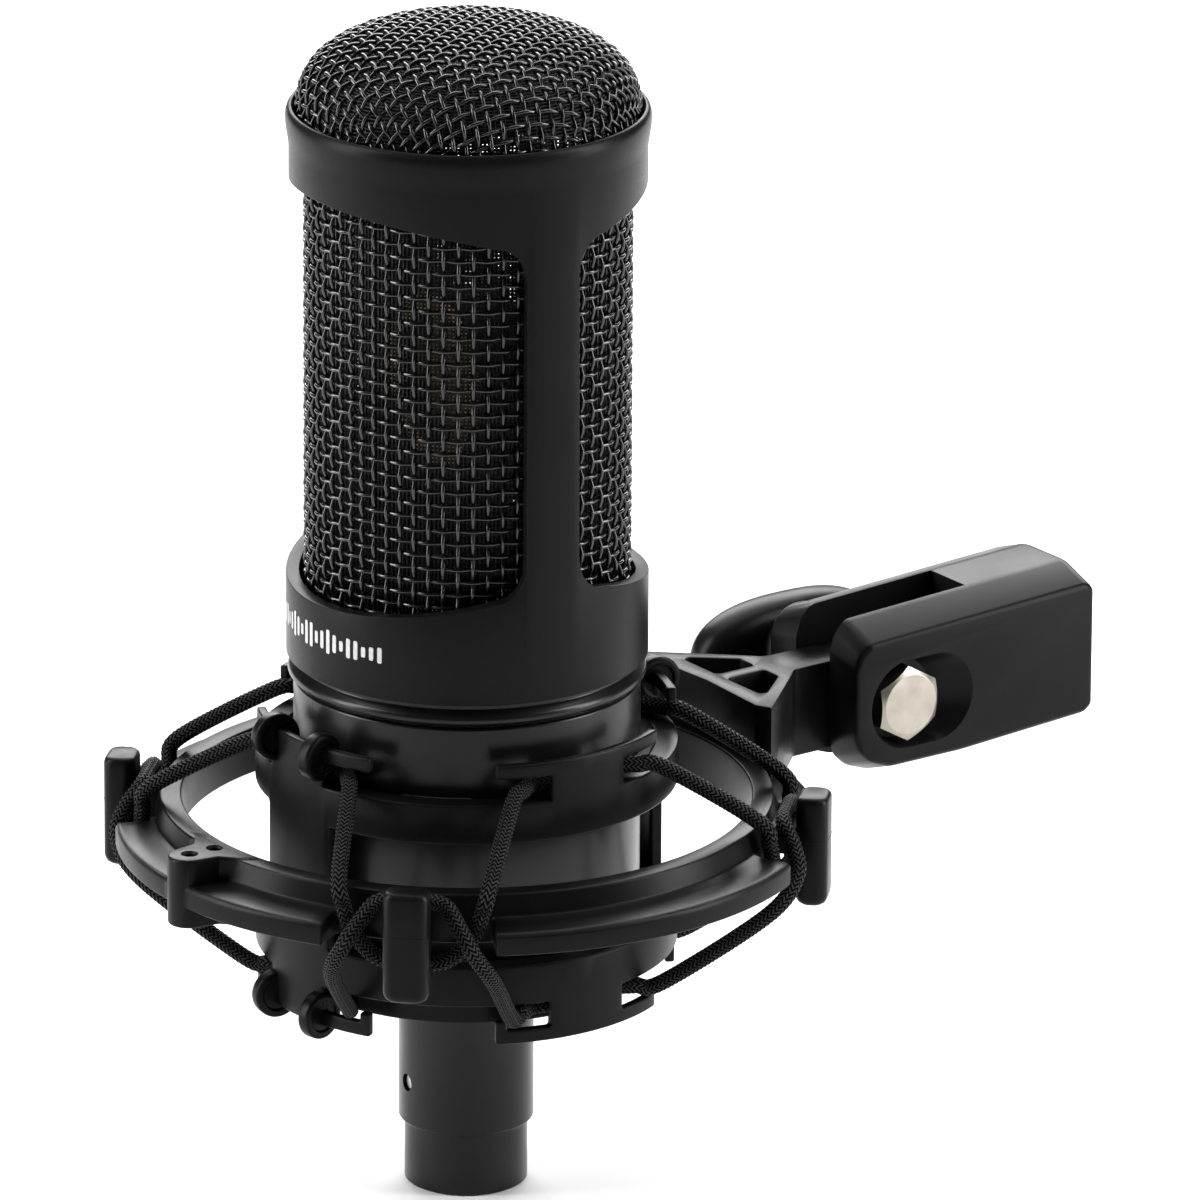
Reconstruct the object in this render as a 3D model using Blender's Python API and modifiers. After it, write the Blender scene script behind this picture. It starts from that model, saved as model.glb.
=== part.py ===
"""Large-diaphragm condenser microphone in an elastic-cord shock mount.

Run with: blender --background --python part.py

Frame: +Z up, metres. The origin is the centre of the mouth of the threaded stand socket, which
opens along +Y. The microphone stands upright on an axis parallel to Z, REACH behind the socket,
and its front looks along -Y, apart from MIC_TURN, the few degrees that it is turned in its cradle.
"""
import bmesh
import bpy
import math
from mathutils import Matrix, Vector

MM = 0.001
GAP = 0.3 * MM            # clearance between pieces that touch

# ---- layout ---------------------------------------------------------------------------------
REACH = 105.5 * MM        # microphone axis to the mouth of the stand socket
MIC_END_Z = -64.3 * MM    # height of the connector end of the microphone
MIC_TURN = math.radians(-7.0)
PIVOT_Y = -34.1 * MM      # tilt bolt
PIVOT_Z = -3.2 * MM

# ---- microphone: radii, and heights above the connector end --------------------------------------
BEAD_R = 26.0 * MM        # the widest ring, 52 mm across
RING_R = 25.5 * MM        # wall of the head frame's top ring
BAND_R = 25.95 * MM       # wall of the head frame's lower band
FRAME_BORE_R = 24.0 * MM
FRAME_FOOT_H = 80.9 * MM
BAND_TOP_H = 92.3 * MM
RING_FOOT_H = 151.9 * MM
BEAD_H = 160.8 * MM
DOME_R = 24.7 * MM
DOME_RISE = 13.0 * MM
WINDOW_HALF = math.radians(80.6)   # half the angle of one window in the head frame
WINDOW_ARCH = 3.6 * MM             # how far a window's edge closes in towards the pillars
GRILLE_R = 23.5 * MM
GRILLE_WALL = 0.7 * MM
SCREEN_R = 22.3 * MM
SCREEN_WALL = 0.3 * MM
BODY_R = 24.9 * MM
BODY_BORE_R = 23.1 * MM
BODY_FOOT_H = 39.1 * MM
BODY_TOP_H = 77.1 * MM
TRIM_R = 25.7 * MM
STEM_R = 9.77 * MM
STEM_TIP_R = 8.9 * MM
STEM_STEP_H = 9.6 * MM
STEM_BORE_R = 7.9 * MM
CAPSULE_H = 122.0 * MM
CAPSULE_R = 12.6 * MM

# ---- cradle: radii, and heights from the middle of the cradle ------------------------------------
CRADLE_Z = -12.0 * MM     # height of the cradle's middle
CRADLE_R = 30.4 * MM
SKIN_R = 29.0 * MM        # inside of the thin skin that hides the cord
LEDGE_R = 27.0 * MM       # inside of the two bands
ARM_R = 28.6 * MM         # inside of the two arms
CRADLE_HALF = 21.0 * MM   # half the cradle's height
LEDGE_Z = 15.2 * MM       # shelf that the cord runs on
BAND_INNER_Z = 9.3 * MM   # edge of a band towards the middle
FINGER_Z = 18.9 * MM      # underside of a finger
ARM_HALF = math.radians(14.0)
NOTCH_OUT = math.radians(33.0)     # from the post to the far end of a notch
NOTCH_IN = math.radians(17.5)      # from the post to the tip of a finger
EAR_R = 3.5 * MM
EAR_ANGLE = math.radians(10.4)      # from the middle of an arm to its ears
LIP_R = 22.5 * MM         # inside of the lip that the microphone stands on
SLEEVE_R = 25.4 * MM      # short sleeve under the lip, behind the lower cord
SLEEVE_WALL = 1.2 * MM
SLEEVE_Z = 19.5 * MM

# ---- outer ring -----------------------------------------------------------------------------------
RING_Z = -8.6 * MM        # height of the ring's middle
RING_HALF = 3.5 * MM
RING_IN_R = 41.0 * MM
RING_OUT_R = 50.6 * MM
RING_WALL_R = 45.0 * MM   # outside of the wall where the flange is cut away
FLANGE = 3.4 * MM          # height of the flange's rim
FLANGE_GAP = math.radians(14.3)    # from the post to the end of the flange
LUG_TOP = 3.7 * MM         # above the ring's middle
LUG_FOOT = -6.6 * MM
LUG_HOLE_R = 0.95 * MM
LUG_HOLES_Y = (-48.2 * MM, -43.9 * MM)
POST_R = 50.4 * MM
POST_SIZE = Vector((6.6, 4.7, 16.5)) * MM
POST_Z = -10.7 * MM
POST_ANGLES = [math.radians(a) for a in (-135, -45, 45, 135)]
FRONT = math.radians(-90)
REAR = math.radians(90)
TONGUE_R = 7.5 * MM
TONGUE_HALF = 3.7 * MM
BOLT_R = 3.0 * MM
BOLT_TIP_X = -20.5 * MM

# ---- stand clamp ----------------------------------------------------------------------------------
CLAMP_HALF = 10.8 * MM    # half its width along X
CROWN_HALF = 4.4 * MM     # half the flat along its top and bottom
CROWN_RISE = 2.3 * MM
# outline of its side as (y, z) in millimetres, from the ear end over the top to the socket end
CLAMP_SIDE = ((-43.6, 3.6), (-42.9, 5.5), (-41.0, 7.0), (-1.2, 8.8), (0.0, 7.9), (0.0, -10.0),
              (-1.2, -11.0), (-24.0, -12.3), (-37.0, -12.3), (-40.6, -11.0), (-42.8, -9.0),
              (-43.6, -6.4))
SLOT_HALF = 4.1 * MM
POCKET_R = 6.5 * MM       # round recess for the bolt head
POCKET_DEPTH = 3.4 * MM
SLOT_END_Y = -19.0 * MM
HEX_R = 5.75 * MM         # bolt head, over its corners
HEX_THICK = 3.6 * MM
SOCKET_R = 8.7 * MM
SOCKET_DEPTH = 15.0 * MM
THREAD_OUT_R = 8.4 * MM
THREAD_BORE_R = 7.45 * MM

# ---- hand knob ------------------------------------------------------------------------------------
KNOB_HEIGHT = 17.6 * MM
KNOB_LENGTH = 33.4 * MM
KNOB_CORNER = 8.4 * MM
KNOB_WING = 9.0 * MM      # thickness of the wings
KNOB_DEPTH = 11.0 * MM    # hub and wings together
KNOB_HUB_R = 8.2 * MM
KNOB_NUT_R = 5.4 * MM
WASHER_R = 6.6 * MM
WASHER_THICK = 1.2 * MM

# ---- elastic cord ---------------------------------------------------------------------------------
CORD_R = 1.22 * MM
CORD_POINTS = 88          # points along one closed loop
# Half of a cord's run at one post, from behind the post to behind the panel, as (distance along
# the ring, radius, height above the ring's middle) near the post, then (degrees, radius, height).
UPPER_AT_POST = ((0.0, 46.52, -5.9), (4.6, 46.6, -5.6), (8.2, 45.9, -2.6), (9.9, 45.5, 1.4),
                 (10.8, 43.9, 5.2))
UPPER_AT_PANEL = ((21.0, 32.8, 12.8), (25.0, 29.6, 13.4), (30.0, 27.1, 13.4), (35.0, 27.0, 13.4),
                  (45.0, 27.1, 13.4))
LOWER_AT_POST = ((0.0, 46.52, 3.2), (4.6, 46.7, 2.9), (7.2, 48.6, 0.2), (9.4, 49.3, -3.4),
                 (11.6, 45.4, -8.8))
LOWER_AT_PANEL = ((21.0, 32.8, -19.6), (25.0, 29.4, -20.2), (29.6, 27.1, -20.2),
                  (34.0, 27.0, -20.2), (45.0, 27.1, -20.2))

SEGMENTS = 32


# ---- scene set-up ---------------------------------------------------------------------------------
def empty_scene():
    for obj in list(bpy.data.objects):
        bpy.data.objects.remove(obj, do_unlink=True)


def new_collection(name):
    group = bpy.data.collections.new(name)
    bpy.context.scene.collection.children.link(group)
    return group


def material(name, colour, roughness, metallic=0.0):
    """A Principled material, made once for each name."""
    found = bpy.data.materials.get(name)
    if found:
        return found
    made = bpy.data.materials.new(name)
    made.use_nodes = True
    made.diffuse_color = (*colour, 1.0)
    shader = made.node_tree.nodes["Principled BSDF"]
    shader.inputs["Base Color"].default_value = (*colour, 1.0)
    shader.inputs["Roughness"].default_value = roughness
    shader.inputs["Metallic"].default_value = metallic
    return made


def finish_object(name, mesh, parent, look=None):
    """Link a mesh as a part (with a material) or as a hidden tool (without)."""
    obj = bpy.data.objects.new(name, mesh)
    obj.parent = parent
    if look:
        PARTS.objects.link(obj)
        mesh.materials.append(look)
    else:
        TOOLS.objects.link(obj)
        obj.hide_render = True
        obj.display_type = "WIRE"
    return obj


def axis_empty(name, location, turn=0.0, parent=None):
    """An empty that carries the pieces which move about one axis."""
    empty = bpy.data.objects.new(name, None)
    empty.location = location
    empty.rotation_euler = (0.0, 0.0, turn)
    empty.parent = parent
    PARTS.objects.link(empty)
    return empty


# ---- modelling helpers ----------------------------------------------------------------------------
def turned(name, outline, parent, look=None, segments=SEGMENTS, closed=True):
    """Turn an (r, z) outline about Z; it runs down the outer side from the top."""
    mesh = bpy.data.meshes.new(name)
    bm = bmesh.new()
    points = [bm.verts.new((r, 0.0, z)) for r, z in outline]
    for start, end in zip(points, points[1:]):
        bm.edges.new((start, end))
    if closed:
        bm.edges.new((points[-1], points[0]))
    bm.to_mesh(mesh)
    bm.free()
    obj = finish_object(name, mesh, parent, look)
    screw = obj.modifiers.new("Turn", "SCREW")
    screw.steps = segments
    screw.render_steps = segments
    screw.use_merge_vertices = True
    screw.merge_threshold = 0.00001
    screw.use_smooth_shade = True
    return obj


def box(name, size, centre, parent, look=None, bevel=0.0, turn=None):
    """A block from its size and centre, with its edges rounded by a Bevel."""
    mesh = bpy.data.meshes.new(name)
    bm = bmesh.new()
    bmesh.ops.create_cube(bm, size=1.0)
    bmesh.ops.scale(bm, vec=size, verts=bm.verts)
    bm.to_mesh(mesh)
    bm.free()
    obj = finish_object(name, mesh, parent, look)
    obj.location = centre
    if turn:
        obj.rotation_euler = turn
    if bevel:
        round_edges(obj, bevel)
    return obj


def round_edges(obj, width, segments=2, angle=35.0):
    bevel = obj.modifiers.new("Round", "BEVEL")
    bevel.width = width
    bevel.segments = segments
    bevel.limit_method = "ANGLE"
    bevel.angle_limit = math.radians(angle)


def cylinder(name, radius, length, centre, axis, parent, look=None, segments=16, top_radius=None):
    """A round bar along axis, tapered if top_radius is given."""
    mesh = bpy.data.meshes.new(name)
    bm = bmesh.new()
    top = radius if top_radius is None else top_radius
    bmesh.ops.create_cone(bm, cap_ends=True, segments=segments, radius1=radius, radius2=top,
                          depth=length)
    turn = Vector((0, 0, 1)).rotation_difference(Vector(axis)).to_matrix()
    bmesh.ops.rotate(bm, verts=bm.verts, cent=(0, 0, 0), matrix=turn)
    bm.to_mesh(mesh)
    bm.free()
    mesh.shade_smooth()
    mesh.set_sharp_from_angle(angle=math.radians(40))
    obj = finish_object(name, mesh, parent, look)
    obj.location = centre
    return obj


def solid_from_curve(name, curve, parent, look=None):
    """Turn a curve into a closed mesh whose caps are welded."""
    holder = bpy.data.objects.new(name + "_curve", curve)
    bpy.context.scene.collection.objects.link(holder)
    graph = bpy.context.evaluated_depsgraph_get()
    mesh = bpy.data.meshes.new_from_object(holder.evaluated_get(graph))
    bpy.data.objects.remove(holder, do_unlink=True)
    bm = bmesh.new()
    bm.from_mesh(mesh)
    bmesh.ops.remove_doubles(bm, verts=bm.verts, dist=0.00001)
    bmesh.ops.recalc_face_normals(bm, faces=bm.faces)
    bm.to_mesh(mesh)
    bm.free()
    mesh.name = name
    mesh.materials.clear()
    return finish_object(name, mesh, parent, look)


def plate(name, outline, bottom, top, parent, look=None, frame=None):
    """A flat outline, extruded from bottom to top along Z, or along frame's Z."""
    curve = bpy.data.curves.new(name, "CURVE")
    curve.dimensions = "2D"
    curve.fill_mode = "BOTH"
    curve.extrude = (top - bottom) / 2
    spline = curve.splines.new("POLY")
    spline.points.add(len(outline) - 1)
    for point, (x, y) in zip(spline.points, outline):
        point.co = (x, y, 0.0, 1.0)
    spline.use_cyclic_u = True
    obj = solid_from_curve(name, curve, parent, look)
    obj.data.transform(Matrix.Translation((0.0, 0.0, (top + bottom) / 2)))
    if frame:
        obj.data.transform(frame)
    return obj


def tube(name, points, radius, parent, look=None, closed=False):
    """A round cord or wire through points."""
    curve = bpy.data.curves.new(name, "CURVE")
    curve.dimensions = "3D"
    curve.bevel_depth = radius
    curve.bevel_resolution = 2
    curve.use_fill_caps = not closed
    spline = curve.splines.new("POLY")
    spline.points.add(len(points) - 1)
    for point, place in zip(spline.points, points):
        point.co = (*place, 1.0)
    spline.use_cyclic_u = closed
    obj = solid_from_curve(name, curve, parent, look)
    obj.data.shade_smooth()
    return obj


def combine(target, tool, operation):
    step = target.modifiers.new(operation.title(), "BOOLEAN")
    step.operation = operation
    step.object = tool
    step.solver = "EXACT"


def cut(target, *tools):
    for tool in tools:
        combine(target, tool, "DIFFERENCE")


def fuse(target, *tools):
    for tool in tools:
        combine(target, tool, "UNION")


def polar(radius, angle):
    return radius * math.cos(angle), radius * math.sin(angle)


def sector(name, inner, outer, start, end, bottom, top, parent, look=None):
    """A piece of a flat ring."""
    step = math.radians(9)
    count = max(2, math.ceil((end - start) / step) + 1)
    angles = [start + (end - start) * i / (count - 1) for i in range(count)]
    outline = [polar(outer, a) for a in angles] + [polar(inner, a) for a in reversed(angles)]
    return plate(name, outline, bottom, top, parent, look)


def rounded_rectangle(width, height, radius, steps=4):
    """The outline of a rectangle about the origin with round corners."""
    outline = []
    for quarter in range(4):
        corner = math.radians(45 + 90 * quarter)
        cx = math.copysign(width / 2 - radius, math.cos(corner))
        cy = math.copysign(height / 2 - radius, math.sin(corner))
        for i in range(steps + 1):
            angle = math.radians(90 * quarter) + math.radians(90) * i / steps
            outline.append((cx + radius * math.cos(angle), cy + radius * math.sin(angle)))
    return outline


# ---- microphone head ------------------------------------------------------------------------------
def window_insets():
    """How far a window closes in at each angle from its middle, with round corners."""
    corner = math.radians(11)
    rise = 5.0 * MM
    arch_steps = 6
    corner_steps = 4
    points = []
    for i in range(-arch_steps, arch_steps + 1):
        share = i / arch_steps
        points.append((share * (WINDOW_HALF - corner), WINDOW_ARCH * share ** 2))
    for i in range(1, corner_steps + 1):
        turn = math.radians(90) * i / corner_steps
        angle = WINDOW_HALF - corner + corner * math.sin(turn)
        inset = WINDOW_ARCH + rise * (1 - math.cos(turn))
        points.append((angle, inset))
        points.insert(0, (-angle, inset))
    return points


def window_tool(name, facing, parent):
    """A curved tool that cuts one window through the head frame's wall."""
    insets = window_insets()
    upper = [(angle, RING_FOOT_H - inset) for angle, inset in insets]
    lower = [(angle, BAND_TOP_H + inset) for angle, inset in insets]
    mesh = bpy.data.meshes.new(name)
    bm = bmesh.new()
    columns = list(zip(lower, upper))
    rings = []
    for radius in (FRAME_BORE_R - 1.5 * MM, BEAD_R + 1.5 * MM):
        low = [bm.verts.new((*polar(radius, facing + a), h)) for (a, h), _ in columns]
        high = [bm.verts.new((*polar(radius, facing + a), h)) for _, (a, h) in columns]
        rings.append((low, high))
    (in_low, in_high), (out_low, out_high) = rings
    for i in range(len(columns) - 1):
        bm.faces.new((out_low[i], out_low[i + 1], out_high[i + 1], out_high[i]))
        bm.faces.new((in_low[i + 1], in_low[i], in_high[i], in_high[i + 1]))
        bm.faces.new((out_high[i], out_high[i + 1], in_high[i + 1], in_high[i]))
        bm.faces.new((in_low[i], in_low[i + 1], out_low[i + 1], out_low[i]))
    bm.faces.new((out_low[0], out_high[0], in_high[0], in_low[0]))
    bm.faces.new((in_low[-1], in_high[-1], out_high[-1], out_low[-1]))
    bmesh.ops.recalc_face_normals(bm, faces=bm.faces)
    bm.to_mesh(mesh)
    bm.free()
    return finish_object(name, mesh, parent)


def head_frame(mic):
    """The top ring, two pillars and lower band, cast in one piece."""
    seat_h = BEAD_H - 1.6 * MM
    outline = [
        (25.0 * MM, BEAD_H + 1.6 * MM), (25.5 * MM, BEAD_H + 1.7 * MM),
        (BEAD_R, BEAD_H + 0.6 * MM), (BEAD_R, BEAD_H - 0.8 * MM),
        (RING_R, BEAD_H - 2.0 * MM), (RING_R, RING_FOOT_H),
        (BAND_R, BAND_TOP_H), (BAND_R, FRAME_FOOT_H),
        (FRAME_BORE_R, FRAME_FOOT_H), (FRAME_BORE_R, seat_h), (25.0 * MM, seat_h),
    ]
    frame = turned("head_frame", outline, mic, SATIN_METAL, segments=40)
    cut(frame, window_tool("window_front", FRONT, mic), window_tool("window_rear", REAR, mic))


def dome_outline(radius, rise, steps=6, power=2.6):
    """The quarter profile of the domed grille, from its edge to the crown."""
    points = []
    for i in range(steps + 1):
        turn = math.radians(90) * i / steps
        r = radius * max(0.0, math.cos(turn)) ** (2 / power)
        z = rise * math.sin(turn) ** (2 / power) if i else 0.0
        points.append((r, z))
    return points


def dome_grille(mic):
    wall = 0.8 * MM
    skirt_h = BEAD_H - 1.3 * MM
    outer = [(r, BEAD_H + z) for r, z in dome_outline(DOME_R, DOME_RISE)]
    inner = [(r, BEAD_H + z) for r, z in dome_outline(DOME_R - wall, DOME_RISE - wall)]
    outline = list(reversed(outer)) + [(DOME_R, skirt_h), (DOME_R - wall, skirt_h)] + inner
    outline[0] = (0.0, outline[0][1])
    outline[-1] = (0.0, outline[-1][1])
    turned("dome_grille", outline, mic, GRILLE, closed=False)


def sleeve(name, outer, wall, bottom, top, parent, look, segments=SEGMENTS):
    outline = [(outer, top), (outer, bottom), (outer - wall, bottom), (outer - wall, top)]
    return turned(name, outline, parent, look, segments)


def head_grilles(mic):
    low = FRAME_FOOT_H + 5.0 * MM
    high = BEAD_H - 2.4 * MM
    sleeve("side_grille", GRILLE_R, GRILLE_WALL, low, high, mic, GRILLE)
    sleeve("inner_screen", SCREEN_R, SCREEN_WALL, low, high, mic, SCREEN, segments=32)


def capsule(mic):
    """The pressure-gradient capsule, facing the front, on its saddle."""
    facing = (0.0, -1.0, 0.0)
    centre = Vector((0.0, 0.0, CAPSULE_H))

    def disc(name, radius, thickness, offset, look, segments=28):
        return cylinder(name, radius, thickness, centre + Vector((0.0, offset, 0.0)), facing,
                        mic, look, segments)

    disc("capsule_backplate", 10.6 * MM, 3.4 * MM, -1.3 * MM, BRASS, 24)
    housing = disc("capsule_housing", CAPSULE_R, 9.0 * MM, 0.0, BLACK_PLASTIC)
    bore = disc("housing_bore", 11.0 * MM, 7.0 * MM, -2.7 * MM, None, 24)
    cut(housing, bore)
    disc("capsule_diaphragm", 10.6 * MM, 0.3 * MM, -3.55 * MM, GOLD, 24)
    clamp = disc("capsule_clamp_ring", CAPSULE_R, 1.2 * MM, -5.4 * MM, BRASS)
    cut(clamp, disc("clamp_ring_bore", 9.6 * MM, 3.0 * MM, -5.4 * MM, None, 24))


def capsule_mount(mic):
    """The saddle under the capsule, its post, and the plate that closes the head."""
    saddle_top = CAPSULE_H - 4.5 * MM
    saddle_foot = CAPSULE_H - CAPSULE_R - 3.0 * MM
    height = saddle_top - saddle_foot
    saddle = box("capsule_saddle", (24.0 * MM, 13.0 * MM, height),
                 (0.0, 0.0, (saddle_top + saddle_foot) / 2), mic, RUBBER)
    nest = cylinder("saddle_nest", CAPSULE_R + GAP, 30.0 * MM, (0.0, 0.0, CAPSULE_H),
                    (0.0, 1.0, 0.0), mic, segments=28)
    cut(saddle, nest)
    plate_top = FRAME_FOOT_H + 3.6 * MM
    post_foot = plate_top + GAP
    post_top = saddle_foot - GAP
    cylinder("capsule_post", 4.2 * MM, post_top - post_foot, (0.0, 0.0, (post_top + post_foot) / 2),
             (0.0, 0.0, 1.0), mic, BLACK_PLASTIC, segments=16, top_radius=3.2 * MM)
    spigot_r = BODY_BORE_R - GAP
    outline = [
        (3.0 * MM, plate_top), (FRAME_BORE_R - GAP, plate_top),
        (FRAME_BORE_R - GAP, BODY_TOP_H + 4.0 * MM), (spigot_r, BODY_TOP_H + 4.0 * MM),
        (spigot_r, 71.0 * MM), (20.6 * MM, 71.0 * MM),
        (20.6 * MM, plate_top - 2.6 * MM), (3.0 * MM, plate_top - 2.6 * MM),
    ]
    turned("head_base", outline, mic, ZINC, segments=24)


# ---- microphone body ------------------------------------------------------------------------------
def body_shell(mic):
    foot = BODY_FOOT_H
    outline = [
        (BODY_BORE_R, BODY_TOP_H), (BODY_R, BODY_TOP_H), (BODY_R, foot + 1.6 * MM),
        (BODY_R - 1.6 * MM, foot), (9.0 * MM, foot), (9.0 * MM, foot + 2.4 * MM),
        (BODY_BORE_R, foot + 2.4 * MM),
    ]
    turned("body_shell", outline, mic, GLOSS_PAINT, segments=36)


def trim_ring(mic):
    """The polished step between the head and the body."""
    low = BODY_TOP_H + GAP
    top = FRAME_FOOT_H - GAP
    inner = BODY_BORE_R + GAP
    outline = [
        (inner, top), (TRIM_R - 0.5 * MM, top), (TRIM_R, top - 0.5 * MM),
        (TRIM_R - 0.1 * MM, low + 1.2 * MM), (TRIM_R - 0.7 * MM, low), (inner, low),
    ]
    turned("trim_ring", outline, mic, GLOSS_PAINT, segments=36)


def xlr_stem(mic):
    """The stepped connector barrel under the body, its insert, pins, nut and set screw."""
    shoulder = BODY_FOOT_H - GAP
    spigot_r = 9.0 * MM - GAP
    tip_top = 45.0 * MM
    floor = 14.0 * MM
    outline = [
        (STEM_BORE_R, tip_top), (spigot_r, tip_top), (spigot_r, shoulder), (STEM_R, shoulder),
        (STEM_R, STEM_STEP_H + 0.4 * MM), (STEM_TIP_R + 0.2 * MM, STEM_STEP_H),
        (STEM_TIP_R, STEM_STEP_H), (STEM_TIP_R, 0.4 * MM), (STEM_TIP_R - 0.4 * MM, 0.0),
        (STEM_BORE_R, 0.0),
    ]
    stem = turned("xlr_stem", outline, mic, GLOSS_PAINT, segments=28)
    screw_h = 16.0 * MM
    hole = cylinder("set_screw_hole", 1.3 * MM, 6.0 * MM, (0.0, -STEM_R, screw_h), (0, 1, 0), mic,
                    segments=12)
    cut(stem, hole)
    cylinder("set_screw", 1.0 * MM, 1.5 * MM, (0.0, -8.35 * MM - 0.15 * MM, screw_h), (0, -1, 0), mic,
             STEEL, segments=10)
    nut_foot = BODY_FOOT_H + 2.4 * MM + GAP
    nut = cylinder("stem_nut", 12.0 * MM, 2.8 * MM, (0.0, 0.0, nut_foot + 1.4 * MM), (0, 0, 1), mic,
                   STEEL, segments=6)
    cut(nut, cylinder("stem_nut_bore", 9.0 * MM, 8.0 * MM, (0.0, 0.0, nut_foot), (0, 0, 1), mic,
                      segments=24))
    insert = cylinder("xlr_insert", STEM_BORE_R - GAP, 5.0 * MM, (0.0, 0.0, floor + 2.5 * MM),
                      (0, 0, 1), mic, BLACK_PLASTIC, segments=24)
    for number, angle in enumerate((-210, 30, -90), start=1):
        x, y = polar(3.6 * MM, math.radians(angle))
        bore = cylinder(f"pin_bore_{number}", 1.5 * MM, 9.0 * MM, (x, y, floor + 2.5 * MM),
                        (0, 0, 1), mic, segments=10)
        cut(insert, bore)
        cylinder(f"xlr_pin_{number}", 1.2 * MM, 17.0 * MM, (x, y, 12.0 * MM), (0, 0, 1), mic,
                 NICKEL, segments=10)


def electronics(mic):
    """The chassis rails, circuit board and its components inside the body."""
    low = 46.0 * MM
    high = 78.5 * MM
    middle = (low + high) / 2
    for name, side in (("chassis_rail_left", -1), ("chassis_rail_right", 1)):
        box(name, (2.0 * MM, 9.0 * MM, high - low), (side * 17.5 * MM, 0.0, middle), mic, ZINC)
    box("circuit_board", (32.0 * MM, 1.6 * MM, high - low - 3.0 * MM), (0.0, 6.4 * MM, middle), mic,
        BOARD_GREEN)
    front_y = 6.4 * MM - 0.8 * MM - GAP
    parts = (
        ("output_transformer", (14.0, 9.0, 11.0), (0.0, 53.0), ZINC),
        ("coupling_capacitor", (9.0, 5.0, 5.0), (-6.0, 66.0), CAP_YELLOW),
        ("converter_can", (7.0, 5.0, 7.0), (7.0, 67.0), ZINC),
    )
    for name, size, (x, z), look in parts:
        width, depth, height = (value * MM for value in size)
        box(name, (width, depth, height), (x * MM, front_y - depth / 2, z * MM), mic, look,
            bevel=0.6 * MM)


# ---- shock-mount cradle ---------------------------------------------------------------------------
def notch_tools(cradle, post, side):
    """Tools that cut one post's gap and notches; side is 1 at the top and -1 below."""
    inner = SKIN_R - 0.25 * MM
    outer = CRADLE_R + 2.0 * MM
    edge = side * (LEDGE_Z - GAP)
    tip_z = FINGER_Z - 1.4 * MM

    def tool(label, half, reach):
        low, high = sorted((edge, side * reach))
        name = f"{label}_{round(math.degrees(post))}_{side}"
        return sector(name, inner, outer, post - half, post + half, low, high, cradle)

    tools = [tool("gap", NOTCH_IN, CRADLE_HALF + 3.0 * MM)]
    if side > 0:
        tools.append(tool("notch", NOTCH_OUT, FINGER_Z))
        return tools
    tools.append(tool("notch_tip", NOTCH_IN + math.radians(3), tip_z))
    for sign in (-1, 1):
        start, end = sorted((post + sign * (NOTCH_IN + math.radians(2.9)), post + sign * NOTCH_OUT))
        low, high = sorted((edge, side * FINGER_Z))
        name = f"notch_{round(math.degrees(post))}_{sign}"
        tools.append(sector(name, inner, outer, start, end, low, high, cradle))
    return tools


def ear_tools(cradle):
    """Round ears that stand out at the corners of the two arms."""
    core_r = SKIN_R - 0.2 * MM
    cores = {}
    for name, side in (("core_top", 1), ("core_foot", -1)):
        height = side * (LEDGE_Z + 0.4 * MM + CRADLE_HALF / 2)
        cores[side] = cylinder(name, core_r, CRADLE_HALF, (0.0, 0.0, height), (0, 0, 1), cradle,
                               segments=36)
    ears = []
    for facing in (FRONT, REAR):
        for sign in (-1, 1):
            angle = facing + sign * EAR_ANGLE
            x, y = polar(CRADLE_R - 0.3 * MM, angle)
            along = (-math.sin(angle), math.cos(angle), 0.0)
            for side in (-1, 1):
                name = f"ear_{round(math.degrees(angle))}_{side}"
                height = side * (CRADLE_HALF - 1.5 * MM)
                ear = cylinder(name, EAR_R, 2.1 * MM, (x, y, height), along, cradle, segments=12)
                cut(ear, cores[side])
                ears.append(ear)
    return ears


def make_cradle(cradle):
    """Two bands joined by a front and a rear arm, with fingers that hold the cords."""
    half = CRADLE_HALF
    outline = [
        (SKIN_R, half), (CRADLE_R, half), (CRADLE_R, -half), (SKIN_R, -half),
        (SKIN_R, -LEDGE_Z), (SLEEVE_R, -LEDGE_Z), (SLEEVE_R, -SLEEVE_Z),
        (SLEEVE_R - SLEEVE_WALL, -SLEEVE_Z), (SLEEVE_R - SLEEVE_WALL, -LEDGE_Z),
        (LIP_R, -LEDGE_Z), (LIP_R, -LEDGE_Z + 1.6 * MM),
        (LEDGE_R, -LEDGE_Z + 1.6 * MM), (LEDGE_R, -BAND_INNER_Z), (ARM_R, -BAND_INNER_Z),
        (ARM_R, BAND_INNER_Z), (LEDGE_R, BAND_INNER_Z), (LEDGE_R, LEDGE_Z), (SKIN_R, LEDGE_Z),
    ]
    body = turned("cradle", outline, cradle, MATTE_PLASTIC, segments=36)
    for side, facing in (("left", math.pi), ("right", 0.0)):
        half_gap = math.radians(90) - ARM_HALF
        cut(body, sector(f"cradle_gap_{side}", ARM_R - 3.0 * MM, CRADLE_R + 2.0 * MM, facing - half_gap,
                         facing + half_gap, -BAND_INNER_Z - 0.1 * MM, BAND_INNER_Z + 0.1 * MM, cradle))
    for post in POST_ANGLES:
        for side in (1, -1):
            cut(body, *notch_tools(cradle, post, side))
    fuse(body, *ear_tools(cradle))


def cradle_pads(cradle):
    """Rubber pads that grip the microphone inside each band."""
    inner = BODY_R + GAP
    outer = LEDGE_R - GAP
    half = math.radians(11)
    for label, low, high in (("upper", BAND_INNER_Z + 0.6 * MM, LEDGE_Z - 0.6 * MM),
                             ("lower", -LEDGE_Z + 2.2 * MM, -BAND_INNER_Z - 0.6 * MM)):
        for number, post in enumerate(POST_ANGLES, start=1):
            sector(f"{label}_pad_{number}", inner, outer, post - half, post + half, low, high, cradle,
                   RUBBER)


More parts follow.
